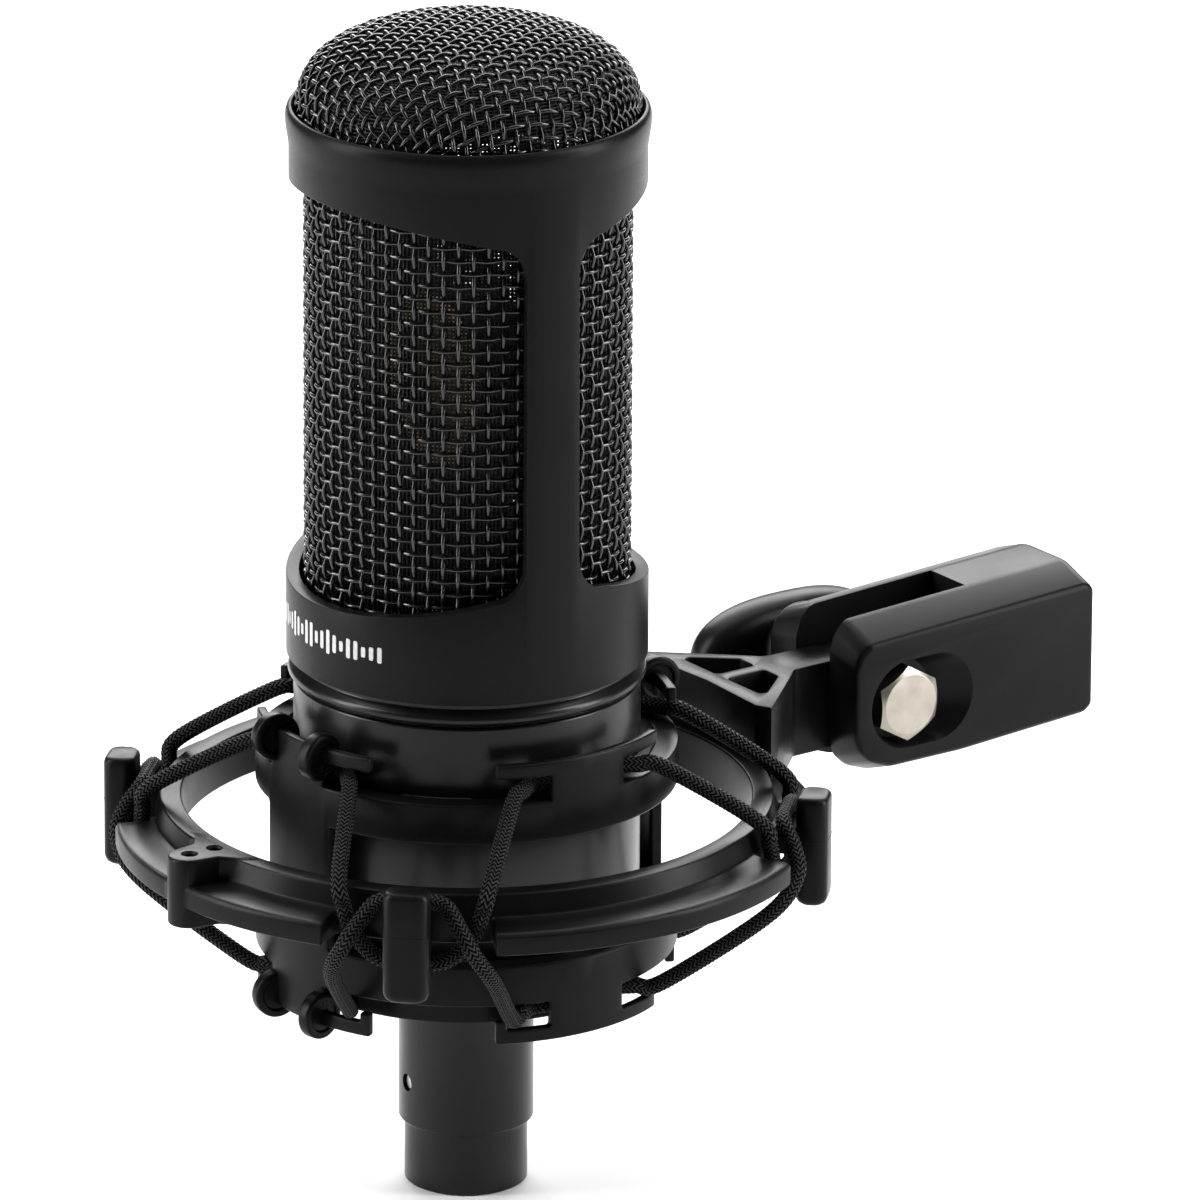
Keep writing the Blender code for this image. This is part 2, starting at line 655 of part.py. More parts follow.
# ---- outer ring with its posts, lug and bracket arm ---------------------------------------------------
def ring_post(ring, angle):
    """A peg that the cords are looped behind, and the web that carries it."""
    degrees = round(math.degrees(angle))
    outline = rounded_rectangle(POST_SIZE.x, POST_SIZE.y, 1.5 * MM, steps=3)
    low = POST_Z - RING_Z - POST_SIZE.z / 2
    turn = Matrix.Rotation(angle - math.radians(90), 4, "Z")
    peg = plate(f"post_{degrees}", outline, low, low + POST_SIZE.z, ring,
                frame=turn @ Matrix.Translation((0.0, POST_R, 0.0)))
    round_edges(peg, 0.6 * MM, segments=1, angle=60)
    web_in = RING_WALL_R - 1.0 * MM
    web_out = POST_R - POST_SIZE.y / 2 + 0.8 * MM
    web = box(f"web_{degrees}", (4.6 * MM, web_out - web_in, 4.2 * MM),
              (*polar((web_in + web_out) / 2, angle), -0.6 * MM), ring,
              turn=(0.0, 0.0, angle - math.radians(90)))
    return peg, web


def lug(ring):
    """The boss at the front of the ring with two small sockets."""
    front = -51.4 * MM
    outline = []
    for i in range(9):
        turn = math.radians(180 + 180 * i / 8)
        outline.append((3.0 * MM * math.cos(turn), front + 3.0 * MM + 3.0 * MM * math.sin(turn)))
    outline += [(3.4 * MM, -45.5 * MM), (7.0 * MM, -42.4 * MM), (-7.0 * MM, -42.4 * MM),
                (-3.4 * MM, -45.5 * MM)]
    boss = plate("lug", outline, LUG_FOOT, LUG_TOP, ring)
    holes = [cylinder(f"lug_hole_{i}", LUG_HOLE_R, 9.0 * MM, (0.0, y, LUG_TOP + 0.9 * MM), (0, 0, 1),
                      ring, segments=10)
             for i, y in enumerate(LUG_HOLES_Y)]
    return boss, holes


def bracket(ring, pivot_y, pivot_z):
    """The arm that narrows from the ring to a tongue between the clamp's ears."""
    low = pivot_z - 7.2 * MM
    high = pivot_z + 6.4 * MM
    neck_y = pivot_y - 15.6 * MM
    outline = [(TONGUE_HALF, pivot_y), (TONGUE_HALF, neck_y), (6.0 * MM, neck_y - 2.4 * MM),
               (15.5 * MM, 43.0 * MM), (13.0 * MM, 41.8 * MM), (0.0, 42.6 * MM),
               (-13.0 * MM, 41.8 * MM), (-15.5 * MM, 43.0 * MM), (-6.0 * MM, neck_y - 2.4 * MM),
               (-TONGUE_HALF, neck_y), (-TONGUE_HALF, pivot_y)]
    arm = plate("bracket_arm", outline, low, high, ring)
    barrel = cylinder("bracket_barrel", TONGUE_R, 2 * TONGUE_HALF + 0.3 * MM, (0.0, pivot_y, pivot_z),
                      (1, 0, 0), ring, segments=24)
    bore = cylinder("bracket_bore", BOLT_R + GAP, 20.0 * MM, (0.0, pivot_y, pivot_z), (1, 0, 0),
                    ring, segments=16)
    slots = []
    for side in (-1, 1):
        slot = [(side * 1.2 * MM, 45.4 * MM), (side * 10.4 * MM, 45.4 * MM),
                (side * 4.6 * MM, neck_y - 3.6 * MM), (side * 1.2 * MM, neck_y - 3.6 * MM)]
        name = "left" if side < 0 else "right"
        slots.append(plate(f"bracket_slot_{name}", slot, low + 3.0 * MM, high + 3.0 * MM, ring))
        flank = [(side * 16.5 * MM, 46.8 * MM), (side * 20.0 * MM, 60.0 * MM),
                 (side * 6.4 * MM, neck_y - 2.0 * MM), (side * 8.6 * MM, 50.6 * MM)]
        slots.append(plate(f"bracket_flank_{name}", flank, low + 2.4 * MM, high - 2.4 * MM, ring))
    return arm, barrel, bore, slots


def outer_ring(ring, pivot_y, pivot_z):
    half = RING_HALF
    outline = [
        (RING_IN_R, half), (RING_WALL_R - 1.0 * MM, half), (RING_WALL_R - 0.4 * MM, 0.4 * MM),
        (RING_WALL_R + 1.4 * MM, 0.0), (RING_OUT_R, -half + FLANGE), (RING_OUT_R, -half),
        (RING_IN_R, -half),
    ]
    body = turned("outer_ring", outline, ring, MATTE_PLASTIC, segments=48)
    for angle in POST_ANGLES:
        cut(body, sector(f"flange_gap_{round(math.degrees(angle))}", RING_WALL_R, RING_OUT_R + 4.0 * MM,
                         angle - FLANGE_GAP, angle + FLANGE_GAP, -8.0 * MM, 8.0 * MM, ring))
        fuse(body, *reversed(ring_post(ring, angle)))
    boss, holes = lug(ring)
    arm, barrel, bore, slots = bracket(ring, pivot_y, pivot_z)
    fuse(body, boss, arm, barrel)
    cut(body, bore, *holes, *slots)


# ---- elastic cords ------------------------------------------------------------------------------------
def smooth_loop(points, count):
    """Points at even spacing along a closed Catmull-Rom curve through the given ones."""
    dense = []
    total = len(points)
    for i in range(total):
        before, start, end, after = (Vector(points[(i + k) % total]) for k in (-1, 0, 1, 2))
        for step in range(12):
            t = step / 12
            dense.append(0.5 * ((2 * start) + (end - before) * t
                                + (2 * before - 5 * start + 4 * end - after) * t * t
                                + (3 * start - before - 3 * end + after) * t ** 3))
    lengths = [0.0]
    for start, end in zip(dense, dense[1:] + dense[:1]):
        lengths.append(lengths[-1] + (end - start).length)
    loop = []
    index = 0
    for i in range(count):
        wanted = lengths[-1] * i / count
        while lengths[index + 1] < wanted:
            index += 1
        share = (wanted - lengths[index]) / (lengths[index + 1] - lengths[index])
        loop.append(dense[index].lerp(dense[(index + 1) % len(dense)], share))
    return loop


def cord_route(at_post, at_panel):
    """The closed route of one cord, in the ring's frame."""
    half = []
    for along, radius, height in at_post:
        half.append((math.atan2(along, radius), math.hypot(along, radius), height))
    half += [(math.radians(degrees), radius, height) for degrees, radius, height in at_panel]
    route = []
    for post in POST_ANGLES:
        for angle, radius, height in list(reversed(half[1:]))[1:]:
            route.append((*polar(radius * MM, post - angle), height * MM))
        for angle, radius, height in half:
            route.append((*polar(radius * MM, post + angle), height * MM))
    return smooth_loop(route, CORD_POINTS)


def cords(ring):
    tube("upper_cord", cord_route(UPPER_AT_POST, UPPER_AT_PANEL), CORD_R, ring, CORD_WEAVE, closed=True)
    tube("lower_cord", cord_route(LOWER_AT_POST, LOWER_AT_PANEL), CORD_R, ring, CORD_WEAVE, closed=True)


# ---- stand clamp ----------------------------------------------------------------------------------------
def clamp_block(clamp):
    """The crowned block whose two ears take the tongue; the socket opens at its far end."""
    mesh = bpy.data.meshes.new("stand_clamp")
    bm = bmesh.new()
    for x, swell in ((-CLAMP_HALF, 0.0), (-CROWN_HALF, 1.0), (CROWN_HALF, 1.0), (CLAMP_HALF, 0.0)):
        for y, z in CLAMP_SIDE:
            rise = math.copysign(CROWN_RISE * swell, z) * min(1.0, abs(z) / 7.0)
            bm.verts.new((x, y * MM, z * MM + rise))
    hull = bmesh.ops.convex_hull(bm, input=bm.verts)
    bmesh.ops.delete(bm, geom=[v for v in hull["geom_interior"] if isinstance(v, bmesh.types.BMVert)],
                     context="VERTS")
    bmesh.ops.dissolve_limit(bm, angle_limit=math.radians(1), verts=bm.verts, edges=bm.edges)
    bmesh.ops.recalc_face_normals(bm, faces=bm.faces)
    bm.to_mesh(mesh)
    bm.free()
    return finish_object("stand_clamp", mesh, clamp, MATTE_PLASTIC)


def stand_clamp(clamp):
    body = clamp_block(clamp)
    slot_start = -50.0 * MM
    slot = box("clamp_slot", (2 * SLOT_HALF, SLOT_END_Y - slot_start, 40.0 * MM),
               (0.0, (SLOT_END_Y + slot_start) / 2, 0.0), clamp)
    bore = cylinder("clamp_bore", BOLT_R + GAP, 40.0 * MM, (0.0, PIVOT_Y, PIVOT_Z), (1, 0, 0), clamp,
                    segments=16)
    pocket = cylinder("hex_pocket", POCKET_R, 6.0 * MM,
                      (CLAMP_HALF - POCKET_DEPTH + 3.0 * MM, PIVOT_Y, PIVOT_Z), (1, 0, 0), clamp,
                      segments=20)
    scoop = cylinder("pocket_scoop", 4.8 * MM, 5.0 * MM,
                     (CLAMP_HALF + 0.4 * MM, PIVOT_Y + 5.6 * MM, PIVOT_Z), (1, 0, 0), clamp,
                     segments=20, top_radius=9.0 * MM)
    socket = cylinder("socket_bore", SOCKET_R, 2 * SOCKET_DEPTH, (0.0, 0.0, 0.0), (0, 1, 0), clamp,
                      segments=28)
    cut(body, slot, bore, pocket, scoop, socket)
    depth = SOCKET_DEPTH - 1.0 * MM
    thread = turned("thread_insert",
                    [(THREAD_BORE_R, -0.4 * MM), (THREAD_OUT_R, -0.4 * MM), (THREAD_OUT_R, -depth),
                     (THREAD_BORE_R, -depth)], clamp, BRASS, segments=28)
    thread.rotation_euler = (math.radians(-90), 0.0, 0.0)


def pivot_bolt(clamp):
    """The hexagon-head bolt that the mount tilts on."""
    seat = CLAMP_HALF - POCKET_DEPTH + GAP
    head = cylinder("pivot_bolt", HEX_R, HEX_THICK, (seat + HEX_THICK / 2, PIVOT_Y, PIVOT_Z), (1, 0, 0),
                    clamp, NICKEL, segments=6)
    shank_end = seat + 0.5 * MM
    shank = cylinder("bolt_shank", BOLT_R, shank_end - BOLT_TIP_X,
                     ((shank_end + BOLT_TIP_X) / 2, PIVOT_Y, PIVOT_Z), (1, 0, 0), clamp, segments=16)
    fuse(head, shank)


def clamp_knob(knob):
    """The winged hand knob on the bolt's thread, its washer and its threaded insert."""
    washer_in = -CLAMP_HALF - GAP
    near = washer_in - WASHER_THICK - GAP
    far = near - KNOB_DEPTH
    sideways = Matrix.Rotation(math.radians(-90), 4, "Y")

    def ring_on_bolt(name, outer, start, end, look, segments):
        inner = BOLT_R + GAP
        outline = [(inner, start), (outer, start), (outer, end), (inner, end)]
        piece = turned(name, outline, knob, look, segments)
        piece.rotation_euler = (0.0, math.radians(90), 0.0)

    outline = rounded_rectangle(KNOB_HEIGHT, KNOB_LENGTH, KNOB_CORNER, steps=4)
    grip = plate("clamp_knob", outline, -far - KNOB_WING, -far, knob, MATTE_PLASTIC, frame=sideways)
    round_edges(grip, 1.4 * MM, segments=2, angle=50)
    hub = cylinder("knob_hub", KNOB_HUB_R, 4.0 * MM, (near - 2.0 * MM, 0.0, 0.0), (1, 0, 0), knob,
                   segments=24)
    bore = cylinder("knob_bore", KNOB_NUT_R + GAP, 24.0 * MM, (BOLT_TIP_X + 11.0 * MM, 0.0, 0.0),
                    (1, 0, 0), knob, segments=20)
    fuse(grip, hub)
    cut(grip, bore)
    ring_on_bolt("knob_washer", WASHER_R, washer_in, washer_in - WASHER_THICK, STEEL, 24)
    ring_on_bolt("knob_nut", KNOB_NUT_R, near - GAP, near - 7.6 * MM, BRASS, 20)


# ---- materials and assembly ------------------------------------------------------------------------------
empty_scene()
PARTS = new_collection("condenser_microphone")
TOOLS = new_collection("cutters")

SATIN_METAL = material("satin_black_metal", (0.016, 0.016, 0.018), 0.42, 0.3)
GLOSS_PAINT = material("black_paint", (0.010, 0.010, 0.011), 0.25)
MATTE_PLASTIC = material("black_moulded_plastic", (0.014, 0.014, 0.015), 0.5)
BLACK_PLASTIC = material("black_plastic", (0.02, 0.02, 0.02), 0.45)
GRILLE = material("black_wire_mesh", (0.012, 0.012, 0.012), 0.35, 0.5)
SCREEN = material("fine_screen", (0.02, 0.02, 0.02), 0.6, 0.3)
RUBBER = material("rubber", (0.015, 0.015, 0.015), 0.8)
CORD_WEAVE = material("braided_cord", (0.02, 0.02, 0.021), 0.85)
BRASS = material("brass", (0.75, 0.55, 0.25), 0.3, 1.0)
GOLD = material("gold_film", (0.95, 0.72, 0.32), 0.2, 1.0)
NICKEL = material("nickel", (0.72, 0.68, 0.62), 0.3, 1.0)
STEEL = material("steel", (0.55, 0.55, 0.56), 0.35, 1.0)
ZINC = material("zinc", (0.5, 0.5, 0.52), 0.4, 0.9)
BOARD_GREEN = material("circuit_board", (0.02, 0.13, 0.05), 0.5)
CAP_YELLOW = material("capacitor_yellow", (0.75, 0.5, 0.1), 0.4)

mic_axis = axis_empty("mic_axis", (0.0, -REACH, MIC_END_Z), MIC_TURN)
cradle_axis = axis_empty("cradle_axis", (0.0, -REACH, CRADLE_Z))
tilt_axis = axis_empty("tilt_axis", (0.0, PIVOT_Y, PIVOT_Z))
ring_axis = axis_empty("ring_axis", (0.0, -REACH - PIVOT_Y, RING_Z - PIVOT_Z), parent=tilt_axis)
clamp_axis = axis_empty("clamp_axis", (0.0, 0.0, 0.0))
knob_axis = axis_empty("knob_axis", (0.0, PIVOT_Y, PIVOT_Z))

head_frame(mic_axis)
dome_grille(mic_axis)
head_grilles(mic_axis)
capsule(mic_axis)
capsule_mount(mic_axis)
body_shell(mic_axis)
trim_ring(mic_axis)
xlr_stem(mic_axis)
electronics(mic_axis)
make_cradle(cradle_axis)
cradle_pads(cradle_axis)
outer_ring(ring_axis, REACH + PIVOT_Y, PIVOT_Z - RING_Z)
cords(ring_axis)
stand_clamp(clamp_axis)
pivot_bolt(clamp_axis)
clamp_knob(knob_axis)
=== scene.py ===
"""Looks of the large-diaphragm condenser microphone in its elastic-cord shock mount.

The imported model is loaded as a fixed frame. Every visible piece is either a CAD node with a better
material, or a finer mesh that stands in the same place and replaces its node.
Lengths are in millimetres, and mesh_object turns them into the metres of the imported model's frame.
"""

import math

import bmesh
import bpy
import numpy as np
from mathutils import Matrix, Vector


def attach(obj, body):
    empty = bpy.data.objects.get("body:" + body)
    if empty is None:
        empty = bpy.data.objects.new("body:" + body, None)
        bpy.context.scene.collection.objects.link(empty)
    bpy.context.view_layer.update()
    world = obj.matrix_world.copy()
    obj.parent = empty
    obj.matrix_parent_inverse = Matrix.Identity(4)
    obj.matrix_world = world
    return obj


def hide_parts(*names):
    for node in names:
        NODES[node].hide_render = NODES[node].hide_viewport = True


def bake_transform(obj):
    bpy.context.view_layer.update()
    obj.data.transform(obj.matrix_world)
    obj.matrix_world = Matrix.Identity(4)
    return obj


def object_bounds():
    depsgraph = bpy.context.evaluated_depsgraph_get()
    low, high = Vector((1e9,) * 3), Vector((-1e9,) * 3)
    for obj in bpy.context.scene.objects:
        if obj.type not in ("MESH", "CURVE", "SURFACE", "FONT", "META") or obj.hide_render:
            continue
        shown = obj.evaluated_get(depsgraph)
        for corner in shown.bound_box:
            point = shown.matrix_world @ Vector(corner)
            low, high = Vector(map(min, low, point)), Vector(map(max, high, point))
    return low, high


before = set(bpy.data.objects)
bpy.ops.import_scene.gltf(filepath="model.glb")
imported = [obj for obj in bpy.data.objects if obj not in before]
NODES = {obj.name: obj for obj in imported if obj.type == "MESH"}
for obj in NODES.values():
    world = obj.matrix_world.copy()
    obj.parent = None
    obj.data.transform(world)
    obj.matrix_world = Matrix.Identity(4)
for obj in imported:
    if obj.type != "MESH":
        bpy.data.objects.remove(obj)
CAD_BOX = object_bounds()

MM = 0.001                    # metres in a millimetre
GAP = 0.3                     # play between neighbouring parts

# ---- layout, as in the CAD model ----
REACH = 105.5
MIC_END_Z = -64.3
MIC_TURN = -7.0               # degrees the microphone is turned in its cradle
PIVOT_Y = -34.1
PIVOT_Z = -3.2
CRADLE_Z = -12.0
RING_Z = -8.6


def shift(x, y, z):
    """A move by so many millimetres."""
    return Matrix.Translation(Vector((x, y, z)) * MM)


def rotation(degrees, axis):
    return Matrix.Rotation(math.radians(degrees), 4, axis)


MIC_FRAME = shift(0.0, -REACH, MIC_END_Z) @ rotation(MIC_TURN, "Z")
CRADLE_FRAME = shift(0.0, -REACH, CRADLE_Z)
RING_FRAME = shift(0.0, -REACH, RING_Z)
KNOB_FRAME = shift(0.0, PIVOT_Y, PIVOT_Z)
WORLD = Matrix.Identity(4)

# ---- microphone: radii, and heights above the connector end ----
RING_R = 25.5
BAND_R = 25.95
FRAME_BORE_R = 24.0
FRAME_FOOT_H = 80.9
BAND_TOP_H = 92.3
RING_FOOT_H = 151.9
BEAD_H = 160.8
DOME_R = 24.7
DOME_RISE = 13.0
DOME_FOOT = 1.0               # straight part under the dome
BEAD_PROFILE = ((25.50, -4.6), (25.56, -3.8), (25.72, -2.8), (25.88, -1.8), (25.98, -0.9), (26.0, -0.3),
                (25.94, 0.3), (25.78, 0.8), (25.52, 1.15), (25.25, 1.3), (25.02, 1.22), (24.95, 1.05))
WINDOW_HALF = 80.6            # degrees to each side of the front and of the back
WINDOW_ARCH = 3.6
WINDOW_CORNER = 11.0
WINDOW_RISE = 5.0
GRILLE_R = 23.5
SCREEN_R = 22.3
BODY_R = 24.9
BODY_BORE_R = 23.1
BODY_FOOT_H = 39.1
BODY_TOP_H = 77.1
TRIM_R = 25.7
MARK_H = 87.4                 # the printed row of bars
MARK_BARS = 23
MARK_SPAN = 66.0              # degrees
MARK_HALF = 0.80              # degrees
STEM_R = 9.77
STEM_TIP_R = 8.9
STEM_STEP_H = 9.6
STEM_BORE_R = 7.9

# ---- woven grilles ----
WIRE_R = 0.28
CRIMP = 0.25                  # how far a wire swings to each side as it passes over and under
WIRE_SIDES = 7
PER_CELL = 4                  # points along a wire from one crossing to the next
SIDE_WIRES = 68
SIDE_PITCH = 1.9
DOME_PITCH = 1.85
DOME_WEAVE_TURN = -7.6
DOME_POWER = 2.6
SCREEN_WIRES = 240
SCREEN_PITCH = 0.58

# ---- cradle ----
CRADLE_R = 30.4
SKIN_R = 29.0
LEDGE_R = 27.0
ARM_R = 28.6
LIP_R = 22.5
SLEEVE_R = 25.4               # short sleeve under the lip, behind the lower cord
SLEEVE_WALL = 1.2
SLEEVE_Z = 19.5
CRADLE_HALF = 21.0
LEDGE_Z = 15.2
LIP_TOP_Z = -13.6
BAND_INNER_Z = 9.3
FINGER_Z = 18.9
TIP_Z = 17.5
ARM_HALF = 14.0
NOTCH_OUT = 33.0
NOTCH_IN = 17.5
NOTCH_TIP = 20.5
EAR_R = 3.5
EAR_ANGLE = 10.4

# ---- outer ring ----
RING_HALF = 3.5
RING_IN_R = 41.0
RING_OUT_R = 50.6
RING_WALL_R = 45.0
FLANGE = 3.4
LUG_TOP = 3.7
LUG_HOLES_Y = (-48.2, -43.9)
FLANGE_GAP = 14.3
POST_R = 50.4
POST_WIDTH = 6.6
POST_DEPTH = 4.7
POST_HEIGHT = 16.5
POST_Z = -10.7
POST_PROFILE = ((0.0, 1.5), (0.18, 0.85), (0.55, 0.38), (1.1, 0.1), (1.8, 0.0), (9.97, 0.0),
                (10.0, -0.05), (10.06, -0.05), (10.09, 0.0), (15.6, 0.0), (16.05, 0.12), (16.36, 0.4),
                (16.5, 0.8))  # height and inset
POST_DEGREES = (-135.0, -45.0, 45.0, 135.0)
FRONT = -90.0
REAR = 90.0
TONGUE_R = 7.5
TONGUE_HALF = 3.7
BOLT_R = 3.0
HEX_R = 5.75
HEX_THICK = 3.6

# ---- stand clamp and knob ----
CLAMP_HALF = 10.8
CROWN_HALF = 4.4
CROWN_RISE = 2.3
CLAMP_SIDE = ((-43.6, 3.6), (-42.9, 5.5), (-41.0, 7.0), (-1.2, 8.8), (0.0, 7.9), (0.0, -10.0),
              (-1.2, -11.0), (-24.0, -12.3), (-37.0, -12.3), (-40.6, -11.0), (-42.8, -9.0),
              (-43.6, -6.4))
POCKET_LEVELS = ((0.6, 7.3, 5.2), (0.0, 6.75, 5.0), (-0.7, 6.35, 4.4), (-2.0, 6.1, 2.6),
                 (-3.4, 6.0, 0.3))   # out from the side, radius, reach towards the socket
SLOT_HALF = 4.1
SLOT_END_Y = -19.0
SOCKET_R = 8.7
SOCKET_DEPTH = 15.0
THREAD_OUT_R = 8.4
THREAD_BORE_R = 7.45
THREAD_PITCH = 0.94
KNOB_HEIGHT = 17.6
KNOB_LENGTH = 33.4
KNOB_POWER = 2.7              # how square the grip is, from 2 for an ellipse
WASHER_THICK = 1.2

# ---- elastic cord ----
CORD_R = 1.22
BRAID_COLUMNS = 12            # columns of chevrons round the cord
BRAID_PITCH = 0.7             # length of one chevron
BRAID_DEPTH = 0.21
CORD_SIDES = 48
CORD_STEPS = 660              # rings along a quarter of the loop
UPPER_AT_POST = ((0.0, 46.52, -5.9), (4.6, 46.6, -5.6), (8.2, 45.9, -2.6), (9.9, 45.5, 1.4),
                 (10.8, 43.9, 5.2))
UPPER_AT_PANEL = ((21.0, 32.8, 12.8), (25.0, 29.6, 13.4), (30.0, 27.1, 13.4), (35.0, 27.0, 13.4),
                  (45.0, 27.1, 13.4))
LOWER_AT_POST = ((0.0, 46.52, 3.2), (4.6, 46.7, 2.9), (7.2, 48.6, 0.2), (9.4, 49.3, -3.4),
                 (11.6, 45.4, -8.8))
LOWER_AT_PANEL = ((21.0, 32.8, -19.6), (25.0, 29.4, -20.2), (29.6, 27.1, -20.2),
                  (34.0, 27.0, -20.2), (45.0, 27.1, -20.2))

# ---- camera ----
VIEW_AZIMUTH = math.radians(54.0)
VIEW_ELEVATION = math.radians(18.8)
VIEW_DISTANCE = 2.0           # metres
VIEW_TARGET = Vector((11.15, -90.15, 23.8)) * MM
VIEW_ROLL = 0.33
LENS_MM = 419.6
FLOOR_HALF = 30000.0
SKY_STRENGTH = 0.03
SIDE_WATTS = 18.0
TOP_WATTS = 20.0
REAR_WATTS = 34.0


# ---- mesh helpers ----
def new_object(name, data):
    obj = bpy.data.objects.new(name, data)
    bpy.context.scene.collection.objects.link(obj)
    return obj


def mesh_object(name, vertices, faces, place=WORLD):
    """An object from lists of corners in millimetres and of faces."""
    mesh = bpy.data.meshes.new(name)
    mesh.from_pydata((np.array([tuple(v) for v in vertices]) * MM).tolist(), [], [tuple(f) for f in faces])
    mesh.validate()
    obj = new_object(name, mesh)
    obj.matrix_world = place
    return obj


def face_outwards(obj, weld=1e-7):
    """Weld the doubles of a mesh and turn all its normals outwards."""
    bm = bmesh.new()
    bm.from_mesh(obj.data)
    bmesh.ops.remove_doubles(bm, verts=bm.verts, dist=weld)
    bmesh.ops.recalc_face_normals(bm, faces=bm.faces)
    bm.to_mesh(obj.data)
    bm.free()
    return obj


def apply_modifiers(obj):
    """Bake an object's modifiers into its own mesh."""
    graph = bpy.context.evaluated_depsgraph_get()
    mesh = bpy.data.meshes.new_from_object(obj.evaluated_get(graph), depsgraph=graph)
    old = obj.data
    obj.modifiers.clear()
    obj.data = mesh
    bpy.data.meshes.remove(old)
    mesh.name = obj.name
    return obj


def shade(obj, degrees=38.0):
    obj.data.shade_smooth()
    obj.data.set_sharp_from_angle(angle=math.radians(degrees))
    return obj


def soften(obj, width, segments=3, degrees=35.0):
    """Round the edges of a finished shape."""
    bevel = obj.modifiers.new("Round", "BEVEL")
    bevel.width = width * MM
    bevel.segments = segments
    bevel.limit_method = "ANGLE"
    bevel.angle_limit = math.radians(degrees)
    bevel.miter_outer = "MITER_ARC"
    return apply_modifiers(obj)


def carve(target, tools, operation="DIFFERENCE"):
    """Cut the tools out of the target, or fuse them onto it, and delete them."""
    for tool in tools:
        step = target.modifiers.new("Carve", "BOOLEAN")
        step.operation = operation
        step.object = tool
        step.solver = "EXACT"
    apply_modifiers(target)
    for tool in tools:
        bpy.data.objects.remove(tool, do_unlink=True)
    return target


def fillet(points, steps=4):
    """Round the corners of a closed (x, y, radius) outline with arcs."""
    outline = []
    for i, (x, y, radius) in enumerate(points):
        if radius <= 0.0:
            outline.append((x, y))
            continue
        here = Vector((x, y))
        before = Vector(points[i - 1][:2]) - here
        after = Vector(points[(i + 1) % len(points)][:2]) - here
        half = before.angle(after) / 2
        reach = min(radius / math.tan(half), 0.49 * before.length, 0.49 * after.length)
        middle = (before.normalized() + after.normalized()).normalized()
        centre = here + middle * math.hypot(reach, reach * math.tan(half))
        first = here + before.normalized() * reach - centre
        last = here + after.normalized() * reach - centre
        sweep = first.angle_signed(last)
        for k in range(steps + 1):
            turn = -sweep * k / steps
            outline.append((centre.x + first.x * math.cos(turn) - first.y * math.sin(turn),
                            centre.y + first.x * math.sin(turn) + first.y * math.cos(turn)))
    return outline


def tube_faces(rings, sides, closed=False, capped=True, base=0):
    """Quads between the rings of a tube; an open tube also gets its two end faces."""
    i = np.arange(rings if closed else rings - 1)[:, None]
    j = (i + 1) % rings
    k = np.arange(sides)[None, :]
    up = (k + 1) % sides
    quads = np.stack([i * sides + k, i * sides + up, j * sides + up, j * sides + k], axis=-1)
    faces = (quads.reshape(-1, 4) + base).tolist()
    if capped and not closed:
        last = base + (rings - 1) * sides
        faces.append([base + n for n in reversed(range(sides))])
        faces.append([last + n for n in range(sides)])
    return faces


def lathe(name, outline, segments, place=WORLD, steps=4):
    """A solid of revolution from a closed (r, z, fillet radius) outline."""
    profile = fillet(outline, steps)
    vertices = [(*polar(r, 360.0 * i / segments), z) for i in range(segments) for r, z in profile]
    return face_outwards(mesh_object(name, vertices, tube_faces(segments, len(profile), True), place))


def loft(name, outlines, place=WORLD):
    """Join equal-length outlines of points into a closed solid."""
    vertices = [point for outline in outlines for point in outline]
    faces = tube_faces(len(outlines), len(outlines[0]))
    return face_outwards(mesh_object(name, vertices, faces, place))


def prism(name, outline, low, high, place=WORLD):
    """A flat outline extruded along Z."""
    return loft(name, [[(x, y, low) for x, y in outline], [(x, y, high) for x, y in outline]], place)


def bar(name, radius, start, end, place=WORLD, segments=48, end_radius=None):
    """A round bar between two points."""
    start, end = Vector(start), Vector(end)
    turn = Vector((0, 0, 1)).rotation_difference(end - start).to_matrix()
    rings = [[centre + turn @ Vector((*polar(size, 360.0 * k / segments), 0)) for k in range(segments)]
             for centre, size in ((start, radius), (end, end_radius or radius))]
    return loft(name, rings, place)


def polar(radius, degrees):
    angle = math.radians(degrees)
    return radius * math.cos(angle), radius * math.sin(angle)


def spline(before, start, end, after, t):
    """A point between start and end of a smooth curve through four."""
    return 0.5 * (2 * start + (end - before) * t + (2 * before - 5 * start + 4 * end - after) * t * t
                  + (3 * start - before - 3 * end + after) * t ** 3)


def rounded_rectangle(width, height, radius, steps=6):
    outline = []
    for quarter, (right, up) in enumerate(((1, 1), (-1, 1), (-1, -1), (1, -1))):
        for i in range(steps + 1):
            x, y = polar(radius, 90 * (quarter + i / steps))
            outline.append((x + right * (width / 2 - radius), y + up * (height / 2 - radius)))
    return outline


def swept_tube(points, up, across, radius, turns):
    """Rings of points round a path; radius is one number, or one for each point of each ring."""
    ring = (np.cos(turns)[None, :, None] * up[:, None, :]
            + np.sin(turns)[None, :, None] * across[:, None, :])
    return (points[:, None, :] + np.asarray(radius)[..., None] * ring).reshape(-1, 3)


def unit_rows(rows):
    return rows / np.linalg.norm(rows, axis=1)[:, None]


